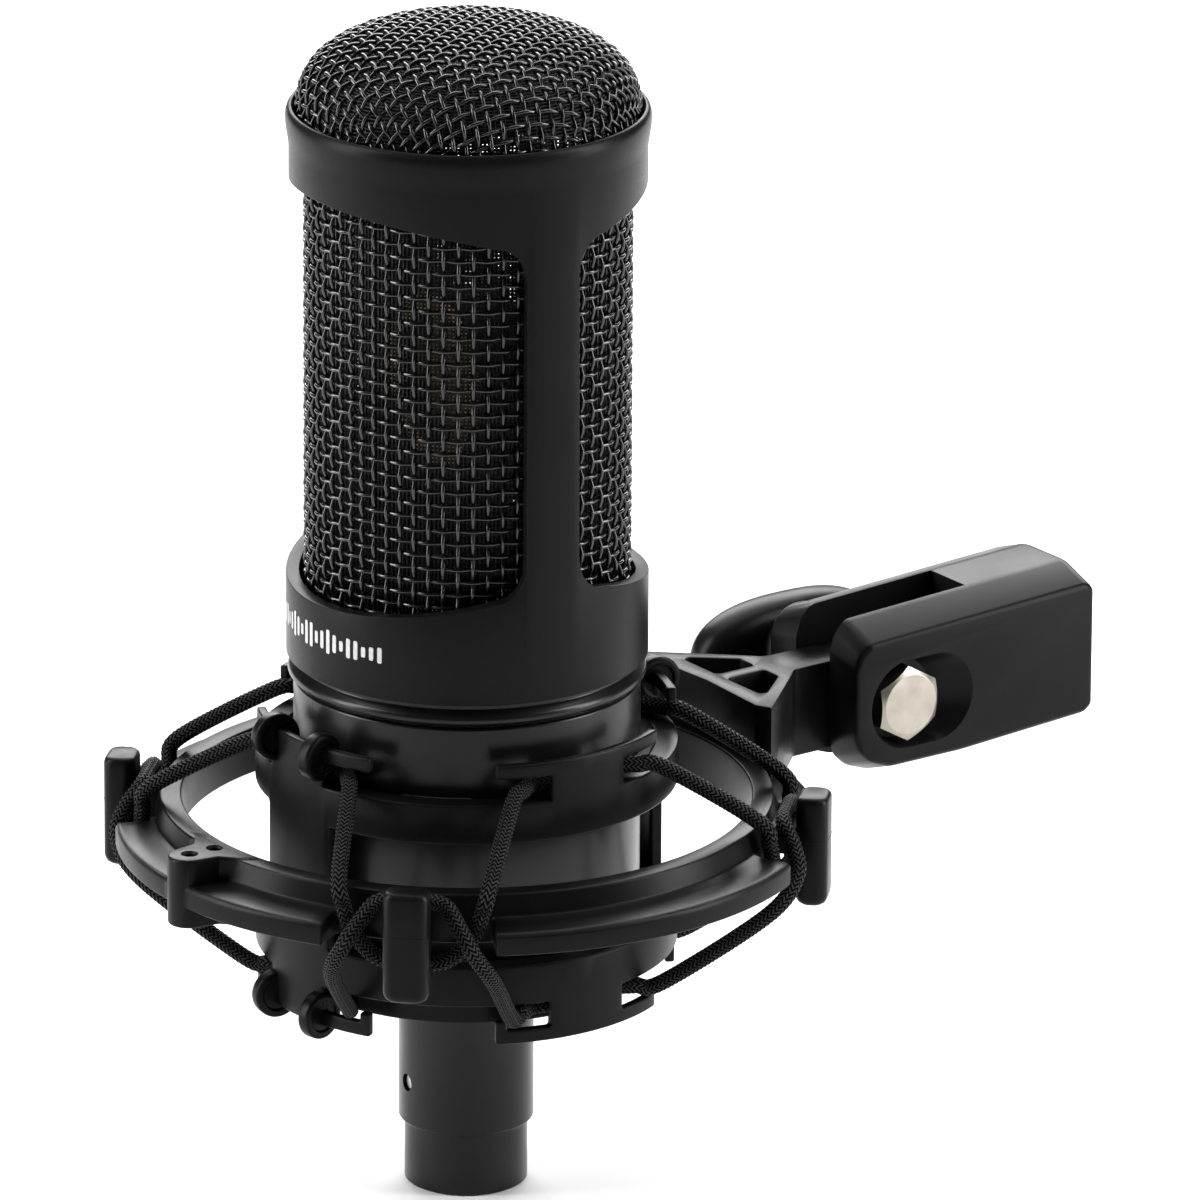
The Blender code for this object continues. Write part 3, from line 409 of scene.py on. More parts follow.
def wires(name, runs, radius, sides, closed, place=WORLD):
    """One mesh of round wires; a run is its points and the surface normal at each."""
    vertices, faces = [], []
    turns = np.arange(sides) * (2 * math.pi / sides)
    for points, normals in runs:
        along = np.roll(points, -1, 0) - np.roll(points, 1, 0) if closed else np.gradient(points, axis=0)
        tangent = unit_rows(along)
        across = unit_rows(np.cross(tangent, normals))
        up = np.cross(across, tangent)
        faces += tube_faces(len(points), sides, closed, base=sum(len(v) for v in vertices))
        vertices.append(swept_tube(points, up, across, radius, turns))
    obj = mesh_object(name, np.concatenate(vertices), faces, place)
    obj.data.shade_smooth()
    return obj


# ---- materials ----
class Look:
    """A Principled material and short calls for its nodes."""

    def __init__(self, name):
        self.material = bpy.data.materials.new("look_" + name)
        self.material.use_nodes = True
        self.tree = self.material.node_tree
        self.shader = self.tree.nodes["Principled BSDF"]
        coords = self.tree.nodes.new("ShaderNodeTexCoord")
        self.place = coords.outputs["Object"]
        self.uv = coords.outputs["UV"]

    def node(self, kind, settings=None, **inputs):
        made = self.tree.nodes.new("ShaderNode" + kind)
        for key, value in (settings or {}).items():
            setattr(made, key, value)
        for key, value in inputs.items():
            self.put(made, key.replace("_", " "), value)
        return made

    def put(self, node, key, value):
        socket = node.inputs[int(key) if key.isdigit() else key]
        if isinstance(value, bpy.types.NodeSocket):
            self.tree.links.new(value, socket)
        else:
            socket.default_value = value

    def noise(self, scale, detail=3.0, rough=0.55, vector=None):
        made = self.node("TexNoise", Scale=scale, Detail=detail, Roughness=rough)
        self.put(made, "Vector", vector or self.place)
        return made.outputs["Fac"]

    def remap(self, value, low, high, start=0.3, end=0.7):
        made = self.node("MapRange")
        for key, number in zip(("Value", "From Min", "From Max", "To Min", "To Max"),
                               (value, start, end, low, high)):
            self.put(made, key, number)
        return made.outputs["Result"]

    def mix(self, share, first, second):
        made = self.node("Mix", {"data_type": "RGBA"})
        self.put(made, "0", share)
        for key, colour in (("6", first), ("7", second)):
            self.put(made, key, colour if isinstance(colour, bpy.types.NodeSocket) else (*colour, 1.0))
        return made.outputs[2]

    def math(self, operation, first, second=0.0):
        made = self.node("Math", {"operation": operation})
        self.put(made, "0", first)
        self.put(made, "1", second)
        return made.outputs[0]

    def times(self, first, second):
        return self.math("MULTIPLY", first, second)

    def plus(self, first, second):
        return self.math("ADD", first, second)

    def bump(self, height, depth, strength=1.0):
        made = self.node("Bump", Height=height, Distance=depth * MM, Strength=strength)
        return made.outputs["Normal"]

    def edges(self, low=0.52, high=0.60):
        """How far a point stands out on an edge, from 0 to 1."""
        return self.remap(self.tree.nodes.new("ShaderNodeNewGeometry").outputs["Pointiness"],
                          0.0, 1.0, low, high)

    def finish(self, **values):
        for key, value in values.items():
            self.put(self.shader, key.replace("_", " "), value)
        return self.material


def grey(level):
    return (level, level, level)


def dark_coat(name, grain_scale, cloud_scale, cloud_detail, edge_highlight, rough, grain_rough, grain_bump):
    """Black plastic or powder coat with a fine grain, and a painted highlight on its edges."""
    look = Look(name)
    grain = look.noise(grain_scale, 2.0)
    cloud = look.noise(cloud_scale, cloud_detail)
    base = look.mix(look.remap(cloud, 0.0, 1.0), (0.0028, 0.0028, 0.0030), (0.0048, 0.0048, 0.0050))
    # painted highlight: the edges, found by pointiness, are mixed towards a paler colour
    base = look.mix(look.times(look.edges(), 0.3), base, edge_highlight)
    roughness = look.plus(look.remap(cloud, *rough), look.remap(grain, *grain_rough))
    return look.finish(Base_Color=base, Roughness=roughness, Specular_IOR_Level=0.10,
                       Normal=look.bump(grain, *grain_bump))


def gloss_paint():
    """Gloss black enamel with a faint orange peel and handling haze."""
    look = Look("gloss_black_paint")
    peel = look.noise(700.0, 1.0)
    haze = look.noise(120.0, 5.0, 0.65)
    base = look.mix(haze, (0.004, 0.004, 0.0043), (0.007, 0.007, 0.0074))
    return look.finish(Base_Color=base, Roughness=look.remap(haze, 0.27, 0.34), Specular_IOR_Level=0.2,
                       Coat_Weight=0.12, Coat_Roughness=look.remap(haze, 0.16, 0.24),
                       Normal=look.bump(peel, 0.02, 0.2))


def clouded(name, scale, detail, dark, light, rough, grain=None, contrast=True, **extra):
    """A surface whose colour, roughness and grain drift with one noise."""
    look = Look(name)
    cloud = look.noise(scale, detail)
    base = look.mix(look.remap(cloud, 0.0, 1.0) if contrast else cloud, dark, light)
    if grain:
        extra["Normal"] = look.bump(cloud, *grain)
    return look.finish(Base_Color=base, Roughness=look.remap(cloud, *rough), **extra)


def braided_cord():
    """Polyester braid in chevrons of fine yarn, with painted shade in the grooves and painted glints on the
    crests.
    """
    look = Look("braided_cord")
    split = look.node("SeparateXYZ")
    look.put(split, "0", look.uv)
    zigzag = look.math("PINGPONG", split.outputs[0], 1.0)
    phase = look.plus(split.outputs[1], zigzag)
    yarn = look.math("SINE", look.times(phase, 10 * math.pi))
    groove = look.math("ABSOLUTE", look.math("COSINE", look.times(phase, math.pi)))
    fuzz = look.noise(5200.0, 2.0)
    crest = look.math("POWER", groove, 3.0)
    glint_mask = look.remap(look.plus(look.times(yarn, 0.2), fuzz), 0.1, 1.0, 0.42, 0.74)
    # painted shade: the grooves between the chevrons are darker than the crests
    base = look.mix(crest, grey(0.0006), (0.0030, 0.0030, 0.0031))
    # painted highlight: pale glints along the yarn on the crests
    base = look.mix(look.times(glint_mask, crest), base, (0.060, 0.060, 0.062))
    height = look.plus(look.times(yarn, 0.3), look.plus(look.times(groove, 2.0), fuzz))
    return look.finish(Base_Color=base, Roughness=look.remap(fuzz, 0.34, 0.55),
                       Specular_IOR_Level=look.remap(crest, 0.01, 0.30), Normal=look.bump(height, 0.06))


def bare_metal(name, dark, light, rough_low, rough_high, scratch=0.3):
    """Bare or plated metal with tool marks and a little tarnish."""
    look = Look(name)
    stretch = look.node("Mapping")
    look.put(stretch, "Vector", look.place)
    look.put(stretch, "Scale", (1.0, 9.0, 9.0))
    lines = look.noise(700.0, 5.0, 0.7, stretch.outputs[0])
    cloud = look.noise(250.0, 4.0)
    base = look.mix(look.remap(cloud, 0.0, 1.0), dark, light)
    rough = look.plus(look.remap(cloud, rough_low, rough_high), look.remap(lines, -0.04, 0.06))
    return look.finish(Base_Color=base, Metallic=1.0, Roughness=rough,
                       Normal=look.bump(lines, 0.012, scratch))


def board_laminate():
    look = Look("board_laminate")
    traces = look.node("TexVoronoi", {"distance": "MANHATTAN"}, Scale=420.0)
    look.put(traces, "Vector", look.place)
    line = look.remap(traces.outputs["Distance"], 1.0, 0.0, 0.25, 0.32)
    base = look.mix(line, (0.008, 0.07, 0.025), (0.015, 0.13, 0.05))
    return look.finish(Base_Color=base, Roughness=look.remap(look.noise(900.0), 0.3, 0.5),
                       Normal=look.bump(line, 0.03, 0.5))


def floor_paper():
    look = Look("floor")
    cloud = look.noise(3.0, 2.0)
    base = look.mix(cloud, (0.86, 0.86, 0.86), (0.88, 0.88, 0.88))
    return look.finish(Base_Color=base, Roughness=0.9, Specular_IOR_Level=0.1)


# in each dark_coat call the colour tuple is the painted edge highlight colour
MATERIALS = (
    dark_coat("moulded_plastic", 5200.0, 90.0, 4.0, (0.03, 0.03, 0.031), (0.30, 0.38), (-0.03, 0.05),
              (0.02, 0.5)),
    dark_coat("satin_black_metal", 2600.0, 60.0, 3.0, (0.035, 0.035, 0.036), (0.33, 0.40), (-0.03, 0.04),
              (0.018, 0.45)),
    gloss_paint(),
    clouded("wire_mesh", 900.0, 3.0, grey(0.0025), grey(0.0055), (0.17, 0.27), (0.02, 0.4),
            Specular_IOR_Level=0.65),
    clouded("fine_screen", 1500.0, 2.0, grey(0.004), grey(0.009), (0.45, 0.6), contrast=False),
    clouded("rubber", 3000.0, 3.0, grey(0.005), grey(0.012), (0.65, 0.85), (0.03, 0.6), contrast=False),
    braided_cord(),
    bare_metal("nickel", (0.30, 0.27, 0.23), (0.42, 0.385, 0.34), 0.30, 0.42),
    bare_metal("steel", (0.42, 0.42, 0.43), (0.56, 0.56, 0.57), 0.28, 0.40),
    bare_metal("brass", (0.60, 0.42, 0.16), (0.80, 0.60, 0.28), 0.22, 0.36),
    bare_metal("gold_film", (0.42, 0.29, 0.11), (0.52, 0.38, 0.16), 0.14, 0.22, 0.1),
    bare_metal("zinc", (0.36, 0.36, 0.38), (0.50, 0.50, 0.52), 0.34, 0.48),
    board_laminate(),
    clouded("capacitor_yellow", 600.0, 3.0, (0.55, 0.33, 0.05), (0.70, 0.45, 0.09), (0.3, 0.5)),
    clouded("white_print", 1800.0, 3.0, grey(0.50), grey(0.66), (0.4, 0.55)),
)
LOOKS = {material.name.removeprefix("look_"): material for material in MATERIALS}


def add_piece(obj, body, slot, *nodes, look=None):
    """Finish a piece: its material, the body it rides on and the nodes it replaces."""
    obj.data.materials.clear()
    obj.data.materials.append(LOOKS[look or slot])
    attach(obj, body)
    if nodes:
        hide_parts(*nodes)
    return obj


# ---- microphone head ----
def frame_columns():
    """Columns round the head frame: angle, how far the window closes in, and if a window starts there."""
    flat = WINDOW_HALF - WINDOW_CORNER
    half = [(flat * k / 22, WINDOW_ARCH * (k / 22) ** 2) for k in range(1, 23)]
    for k in range(1, 7):
        turn = math.radians(15 * k)
        half.append((flat + WINDOW_CORNER * math.sin(turn),
                     WINDOW_ARCH + WINDOW_RISE * (1 - math.cos(turn))))
    window = [(-angle, inset) for angle, inset in reversed(half)] + [(0.0, 0.0)] + half
    pillar = 180.0 - 2 * WINDOW_HALF
    columns = []
    for facing in (FRONT, REAR):
        columns += [(facing + angle, inset, True) for angle, inset in window[:-1]]
        columns += [(facing + WINDOW_HALF + pillar * k / 6, window[-1][1], False) for k in range(6)]
    return columns


def swept_section(name, sections, kinds, pairs, cap, place):
    """A closed ring through profiles; each kind of step joins its own pairs of profile points."""
    count = len(sections[0])
    total = len(sections)
    faces = []
    for i in range(total):
        here = i * count
        there = (i + 1) % total * count
        faces += [(here + a, there + a, there + b, here + b) for a, b in pairs[kinds[i]]]
        if kinds[i] != kinds[i - 1]:
            faces.append([here + k for k in cap])
    vertices = [point for section in sections for point in section]
    return face_outwards(mesh_object(name, vertices, faces, place))


def head_frame():
    seat_h = BEAD_H - 1.6
    rim = [(r, BEAD_H + z) for r, z in BEAD_PROFILE]
    rim += [(24.95, seat_h), (FRAME_BORE_R, seat_h)]
    taper = (BAND_R - RING_R) / (RING_FOOT_H - BAND_TOP_H)
    sections, kinds = [], []
    for degrees, inset, is_window in frame_columns():
        low = BAND_TOP_H + inset
        high = RING_FOOT_H - inset
        profile = [(FRAME_BORE_R, FRAME_FOOT_H), (BAND_R, FRAME_FOOT_H), (BAND_R - taper * inset, low),
                   (FRAME_BORE_R, low), (FRAME_BORE_R, high), (RING_R + taper * inset, high)] + rim
        sections.append([(*polar(r, degrees), h) for r, h in profile])
        kinds.append(is_window)
    count = 6 + len(rim)
    always = [(0, 1), (1, 2), (3, 0), (count - 1, 4)] + [(k, k + 1) for k in range(5, count - 1)]
    pairs = {True: always + [(2, 3), (4, 5)], False: always + [(2, 5), (4, 3)]}
    obj = swept_section("head_frame_fine", sections, kinds, pairs, (2, 3, 4, 5), MIC_FRAME)
    soften(obj, 0.5, 3, 40.0)
    return add_piece(shade(obj), "microphone", "satin_black_metal", "head_frame")


def upright(turn, radii, heights):
    """An upright wire at an angle, with the normals along it."""
    direction = np.array([math.cos(turn), math.sin(turn), 0.0])
    points = np.outer(radii, direction)
    points[:, 2] = heights
    return points, np.tile(direction, (len(points), 1))


def hoop(turns, radii, height):
    """A level wire right round, with the normals along it."""
    directions = np.stack([np.cos(turns), np.sin(turns), 0 * turns], axis=1)
    points = directions * np.reshape(radii, (-1, 1))
    points[:, 2] = height
    return points, directions


def side_weave():
    """The woven cylinder of the head: upright wires and hoops that pass over and under."""
    mean = GRILLE_R - WIRE_R - CRIMP
    low = FRAME_FOOT_H + 6.0
    rows = int((BEAD_H - 3.0 - low) / SIDE_PITCH)
    step = 2 * math.pi / SIDE_WIRES
    t = np.arange((rows + 1) * PER_CELL + 1) / PER_CELL - 0.5
    uprights = [upright(column * step, mean + CRIMP * np.cos(math.pi * t) * (-1) ** column,
                        low + t * SIDE_PITCH) for column in range(SIDE_WIRES)]
    t = np.arange(SIDE_WIRES * PER_CELL) / PER_CELL
    hoops = [hoop(t * step, mean - CRIMP * np.cos(math.pi * t) * (-1) ** row, low + row * SIDE_PITCH)
             for row in range(rows + 1)]
    for name, runs, closed in (("grille_uprights", uprights, False), ("grille_hoops", hoops, True)):
        add_piece(wires(name, runs, WIRE_R, WIRE_SIDES, closed, MIC_FRAME), "microphone", "wire_mesh",
                  "side_grille")


def screen_weave():
    """The fine screen behind the woven cylinder."""
    radius = SCREEN_R - 0.28
    low = FRAME_FOOT_H + 5.2
    high = BEAD_H - 2.6
    uprights = [upright(2 * math.pi * column / SCREEN_WIRES, [radius + 0.12] * 3, np.linspace(low, high, 3))
                for column in range(SCREEN_WIRES)]
    around = 2 * math.pi * np.arange(90) / 90
    hoops = [hoop(around, radius - 0.12, low + 0.4 + row * SCREEN_PITCH)
             for row in range(int((high - low) / SCREEN_PITCH))]
    for name, runs, closed in (("screen_uprights", uprights, False), ("screen_hoops", hoops, True)):
        add_piece(wires(name, runs, 0.19, 4, closed, MIC_FRAME), "microphone", "fine_screen",
                  "inner_screen")


class Dome:
    """The dome's mean surface, measured along its profile from the crown."""

    def __init__(self, drop):
        radius = DOME_R - drop
        turns = np.linspace(math.pi / 2, 0.0, 400)
        r = radius * np.maximum(0.0, np.cos(turns)) ** (2 / DOME_POWER)
        z = (DOME_RISE - drop) * np.sin(turns) ** (2 / DOME_POWER)
        r[0] = 0.0
        z[-1] = 0.0
        self.r = np.append(r, radius)
        self.z = np.append(z, -DOME_FOOT)
        self.along = np.concatenate([[0.0], np.cumsum(np.hypot(np.diff(self.r), np.diff(self.z)))])
        self.length = self.along[-1]

    def at(self, x, y):
        """The point a walk of hypot(x, y) from the crown reaches in the direction (x, y)."""
        walk = math.hypot(x, y)
        r = float(np.interp(walk, self.along, self.r))
        z = float(np.interp(walk, self.along, self.z))
        if walk > self.length:
            z -= walk - self.length
        share = r / walk if walk > 1e-6 else 1.0
        return np.array([x * share, y * share, z])

    def normal(self, x, y):
        step = 0.05
        a = self.at(x + step, y) - self.at(x - step, y)
        b = self.at(x, y + step) - self.at(x, y - step)
        n = np.cross(a, b)
        return n / np.linalg.norm(n)


def dome_screen():
    """The fine screen under the woven dome: close rings crossed by ribs."""
    dome = Dome(1.7)
    around = 2 * math.pi * np.arange(96) / 96
    rings, ribs = [], []
    for row in range(1, int(dome.length / 0.5)):
        spots = [dome.at(*(row * 0.5 * np.array([math.cos(a), math.sin(a)]))) for a in around]
        rings.append((np.array(spots), np.array([(math.cos(a), math.sin(a), 0.3) for a in around])))
    for column, a in enumerate(around):
        first = 3.0 if column % 4 == 0 else 7.0
        spots = [dome.at(walk * math.cos(a), walk * math.sin(a))
                 for walk in np.linspace(first, dome.length - 0.3, 22)]
        ribs.append((np.array(spots), np.tile([math.cos(a), math.sin(a), 0.5], (22, 1))))
    for name, runs, closed in (("dome_screen_rings", rings, True), ("dome_screen_ribs", ribs, False)):
        add_piece(wires(name, runs, 0.15, 4, closed, MIC_FRAME @ shift(0.0, 0.0, BEAD_H)), "microphone",
                  "fine_screen")


def next_crossing(dome, first, second, guess, pitch):
    """The walk to a point one pitch away from two others, by Newton's method; None if there is none."""
    spot = guess.copy()
    for _ in range(25):
        here = dome.at(*spot)
        miss = np.array([np.linalg.norm(here - first) - pitch, np.linalg.norm(here - second) - pitch])
        if np.abs(miss).max() < 1e-5:
            break
        slope = np.zeros((2, 2))
        for axis in range(2):
            moved = spot.copy()
            moved[axis] += 1e-3
            there = dome.at(*moved)
            for row, other in enumerate((first, second)):
                slope[row, axis] = (np.linalg.norm(there - other) - pitch - miss[row]) / 1e-3
        if abs(np.linalg.det(slope)) < 1e-4:
            break
        change = np.linalg.solve(slope, -miss)
        spot = spot + change * min(1.0, 0.6 * pitch / max(np.linalg.norm(change), 1e-9))
    if np.abs(miss).max() > 0.2 * pitch or np.linalg.norm(spot) > dome.length + 1.5 * pitch:
        return None
    return spot


def dome_net(dome, pitch, reach):
    """Crossings of a cloth of square mesh laid over the dome, as walks from the crown."""
    net = {(0, 0): np.zeros(2)}
    for k in range(1, reach + 1):
        net[(k, 0)] = np.array([k * pitch, 0.0])
        net[(0, k)] = np.array([0.0, k * pitch])
    for total in range(2, 2 * reach + 1):
        for i in range(max(1, total - reach), min(total, reach + 1)):
            j = total - i
            if (i - 1, j) not in net or (i, j - 1) not in net:
                continue
            left, below = net[(i - 1, j)], net[(i, j - 1)]
            guess = left + below - net.get((i - 1, j - 1), np.zeros(2))
            spot = next_crossing(dome, dome.at(*left), dome.at(*below), guess, pitch)
            if spot is not None:
                net[(i, j)] = spot
    return {(si * i, sj * j): spot * np.array([si, sj])
            for (i, j), spot in net.items() for si in (1, -1) for sj in (1, -1)}


def unbroken(row, reach, net, is_across):
    """The stretches of neighbouring crossings along one wire of the net."""
    groups = []
    for k in range(-reach, reach + 1):
        key = (k, row) if is_across else (row, k)
        if key not in net:
            continue
        if groups and groups[-1][-1][0] == k - 1:
            groups[-1].append((k, net[key]))
        else:
            groups.append([(k, net[key])])
    return [group for group in groups if len(group) > 1]


def dome_weave():
    """The woven dome: a square cloth of wire pressed over it, so that its cells skew."""
    dome = Dome(WIRE_R + CRIMP)
    reach = int(dome.length / DOME_PITCH) + 2
    net = dome_net(dome, DOME_PITCH, reach)
    place = MIC_FRAME @ shift(0.0, 0.0, BEAD_H) @ rotation(DOME_WEAVE_TURN, "Z")
    for name, is_across in (("dome_wires_across", True), ("dome_wires_along", False)):
        runs = []
        for row in range(-reach, reach + 1):
            for group in unbroken(row, reach, net, is_across):
                run = dome_run(dome, group, (-1) ** row * (1 if is_across else -1))
                if run is not None:
                    runs.append(run)
        add_piece(wires(name, runs, WIRE_R, WIRE_SIDES, False, place), "microphone", "wire_mesh",
                  "dome_grille")


def dome_run(dome, group, sign):
    """One wire of the dome through its crossings, cut off at the foot."""
    spots = [spot for _, spot in group]
    walks = []
    for index in range(len(spots) - 1):
        guides = (spots[max(index - 1, 0)], spots[index], spots[index + 1],
                  spots[min(index + 2, len(spots) - 1)])
        for step in range(PER_CELL):
            t = step / PER_CELL
            walks.append((group[index][0] + t, spline(*guides, t)))
    walks.append((group[-1][0], spots[-1]))
    points, normals = [], []
    for k, spot in walks:
        if np.linalg.norm(spot) > dome.length:
            continue
        normal = dome.normal(*spot)
        points.append(dome.at(*spot) + normal * CRIMP * math.cos(math.pi * k) * sign)
        normals.append(normal)
    if len(points) < 3:
        return None
    return np.array(points), np.array(normals)


# ---- microphone body ----
def body_parts():
    foot = BODY_FOOT_H
    shell = lathe("body_shell_fine", [
        (BODY_BORE_R, BODY_TOP_H, 0.2), (BODY_R, BODY_TOP_H, 0.35), (BODY_R, foot + 0.1, 2.4),
        (BODY_R - 2.6, foot, 0.8), (11.4, foot, 0.2), (11.1, foot + 0.35, 0.1), (10.5, foot + 0.35, 0.1),
        (10.3, foot, 0.2), (9.0, foot, 0.1), (9.0, foot + 2.4, 0.0), (BODY_BORE_R, foot + 2.4, 0.8),
    ], 128, MIC_FRAME, 5)
    add_piece(shade(shell), "microphone", "gloss_black_paint", "body_shell")
    low = BODY_TOP_H + GAP
    top = FRAME_FOOT_H - GAP
    inner = BODY_BORE_R + GAP
    trim = lathe("trim_ring_fine", [
        (inner, top, 0.1), (TRIM_R - 1.1, top, 0.1), (TRIM_R - 1.1, top - 0.7, 0.3),
        (TRIM_R, low + 1.5, 1.0), (TRIM_R, low + 0.7, 0.4), (TRIM_R - 0.6, low, 0.2), (inner, low, 0.1),
    ], 128, MIC_FRAME, 5)
    add_piece(shade(trim), "microphone", "gloss_black_paint", "trim_ring")


def stem():
    shoulder = BODY_FOOT_H - GAP
    spigot_r = 9.0 - GAP
    barrel = lathe("xlr_stem_fine", [
        (STEM_BORE_R, 45.0, 0.1), (spigot_r, 45.0, 0.3), (spigot_r, shoulder, 0.1),
        (STEM_R, shoulder, 0.5), (STEM_R, STEM_STEP_H, 0.5), (STEM_TIP_R + 0.1, STEM_STEP_H, 0.25),
        (STEM_TIP_R, STEM_STEP_H - 0.8, 0.2), (STEM_TIP_R, 0.0, 0.45), (STEM_BORE_R, 0.0, 0.25),
    ], 96, MIC_FRAME, 5)
    screw_h = 16.0
    hole = bar("set_screw_hole", 1.3, (0.0, -STEM_R - 3.0, screw_h), (0.0, -STEM_R + 3.0, screw_h),
               MIC_FRAME, 32)
    key_y = STEM_BORE_R - 0.35
    key = bar("key_slot", 1.6, (0.0, key_y, -1.0), (0.0, key_y, 8.0), MIC_FRAME, 24)
    carve(barrel, [hole, key])
    add_piece(shade(barrel, 30.0), "microphone", "gloss_black_paint", "xlr_stem")


def band_mark():
    """A generic row of sound-level bars, printed white on the front of the lower band."""
    vertices, faces = [], []
    for index in range(MARK_BARS):
        share = index / (MARK_BARS - 1)
        centre = FRONT + MARK_SPAN * (share - 0.5)
        tall = 0.55 + 1.35 * abs(math.sin(index * 0.9 + 0.6)) * (0.45 + 0.55 * math.sin(math.pi * share))
        ring = fillet([(x * MARK_HALF, y * tall, 0.35) for x, y in ((-1, -1), (1, -1), (1, 1), (-1, 1))], 3)
        faces += tube_faces(2, len(ring), base=len(vertices))
        for radius in (BAND_R - 0.02, BAND_R + 0.035):
            vertices += [(*polar(radius, centre + x), MARK_H + y) for x, y in ring]
    obj = face_outwards(mesh_object("band_mark", vertices, faces, MIC_FRAME), 1e-9)
    add_piece(obj, "microphone", "satin_black_metal", look="white_print")


# ---- cradle ----
def off(degrees, middle):
    """The angle between two directions, in degrees."""
    return abs((degrees - middle + 180.0) % 360.0 - 180.0)


def cradle_solid(radius, degrees, height):
    """Whether the cradle has material at a place in its own frame."""
    post = min(off(degrees, p) for p in POST_DEGREES)
    arm = min(off(degrees, FRONT), off(degrees, REAR)) < ARM_HALF
    size = abs(height)
    if radius > SKIN_R:
        if size < BAND_INNER_Z:
            return arm
        if size < LEDGE_Z:
            return True
        if post < NOTCH_IN:
            return False
        if height > 0:
            return size > FINGER_Z or post > NOTCH_OUT
        if post < NOTCH_TIP:
            return size > TIP_Z
        return size > FINGER_Z or post > NOTCH_OUT
    if radius > LEDGE_R:
        if size < BAND_INNER_Z:
            return arm and radius > ARM_R
        return size < LEDGE_Z
    foot = -SLEEVE_Z if SLEEVE_R - SLEEVE_WALL < radius < SLEEVE_R else -LEDGE_Z
    return foot < height < LIP_TOP_Z


def angle_steps(marks, step):
    """Angles all the way round that include the marks, at most step apart."""
    marks = sorted({round(m % 360.0, 4) for m in marks})
    angles = []
    for start, end in zip(marks, marks[1:] + [marks[0] + 360.0]):
        count = max(1, math.ceil((end - start) / step - 1e-6))
        angles += [start + (end - start) * k / count for k in range(count)]
    return angles


def ring_cells(name, radii, angles, heights, is_solid, place):
    """The skin of the solid cells of a round grid."""
    na, nh = len(angles), len(heights)
    wide = angles + [angles[0] + 360.0]
    solid = {(i, j, k) for i in range(len(radii) - 1) for j in range(na) for k in range(nh - 1)
             if is_solid((radii[i] + radii[i + 1]) / 2, (wide[j] + wide[j + 1]) / 2,
                         (heights[k] + heights[k + 1]) / 2)}
    faces = []
    for cell in solid:
        for axis, step in ((0, -1), (0, 1), (1, -1), (1, 1), (2, -1), (2, 1)):
            other = list(cell)
            other[axis] += step
            other[1] %= na
            if tuple(other) in solid:
                continue
            face = []   # its corners, with the step's axis first and then turned into place
            for first, second in ((0, 0), (0, 1), (1, 1), (1, 0)):
                i, j, k = np.roll((step > 0, first, second), axis) + cell
                face.append((int(i) * na + int(j) % na) * nh + int(k))
            faces.append(face)
    used = sorted({v for face in faces for v in face})
    index = {v: n for n, v in enumerate(used)}
    vertices = [(*polar(radii[v // nh // na], angles[v // nh % na]), heights[v % nh]) for v in used]
    return face_outwards(mesh_object(name, vertices, [[index[v] for v in f] for f in faces], place))


def ear(name, degrees, height):
    """A thick-rimmed round ear that stands out of the cradle."""
    place = (CRADLE_FRAME @ shift(*polar(CRADLE_R - 0.3, degrees), height) @ rotation(degrees, "Z")
             @ rotation(-90, "X"))
    half = 1.05
    waist = 0.72
    side = [(0.0, half - 0.35, 0.0), (EAR_R - 1.25, waist, 0.25), (EAR_R - 1.0, half, 0.3),
            (EAR_R, half, 0.45)]
    other = [(r, -z, corner) for r, z, corner in reversed(side)]
    return lathe(name, side + other, 40, place, 4)


def cradle():
    marks = [middle + sign * ARM_HALF for middle in (FRONT, REAR) for sign in (-1, 1)]
    marks += [post + sign * away for post in POST_DEGREES for sign in (-1, 1)
              for away in (NOTCH_IN, NOTCH_TIP, NOTCH_OUT)]
    radii = [LIP_R, SLEEVE_R - SLEEVE_WALL, SLEEVE_R, LEDGE_R, ARM_R, SKIN_R, CRADLE_R]
    heights = [-CRADLE_HALF, -SLEEVE_Z, -FINGER_Z, -TIP_Z, -LEDGE_Z, LIP_TOP_Z, -BAND_INNER_Z,
               BAND_INNER_Z, LEDGE_Z, FINGER_Z, CRADLE_HALF]
    obj = ring_cells("cradle_fine", radii, angle_steps(marks, 3.0), heights, cradle_solid, CRADLE_FRAME)
    soften(obj, 0.34, 3, 40.0)
    ears = [ear(f"ear_{facing}_{sign}_{side}", facing + sign * EAR_ANGLE, side * (CRADLE_HALF - 1.5))
            for facing in (FRONT, REAR) for sign in (-1, 1) for side in (-1, 1)]
    carve(obj, ears, "UNION")
    add_piece(shade(obj), "cradle", "moulded_plastic", "cradle")


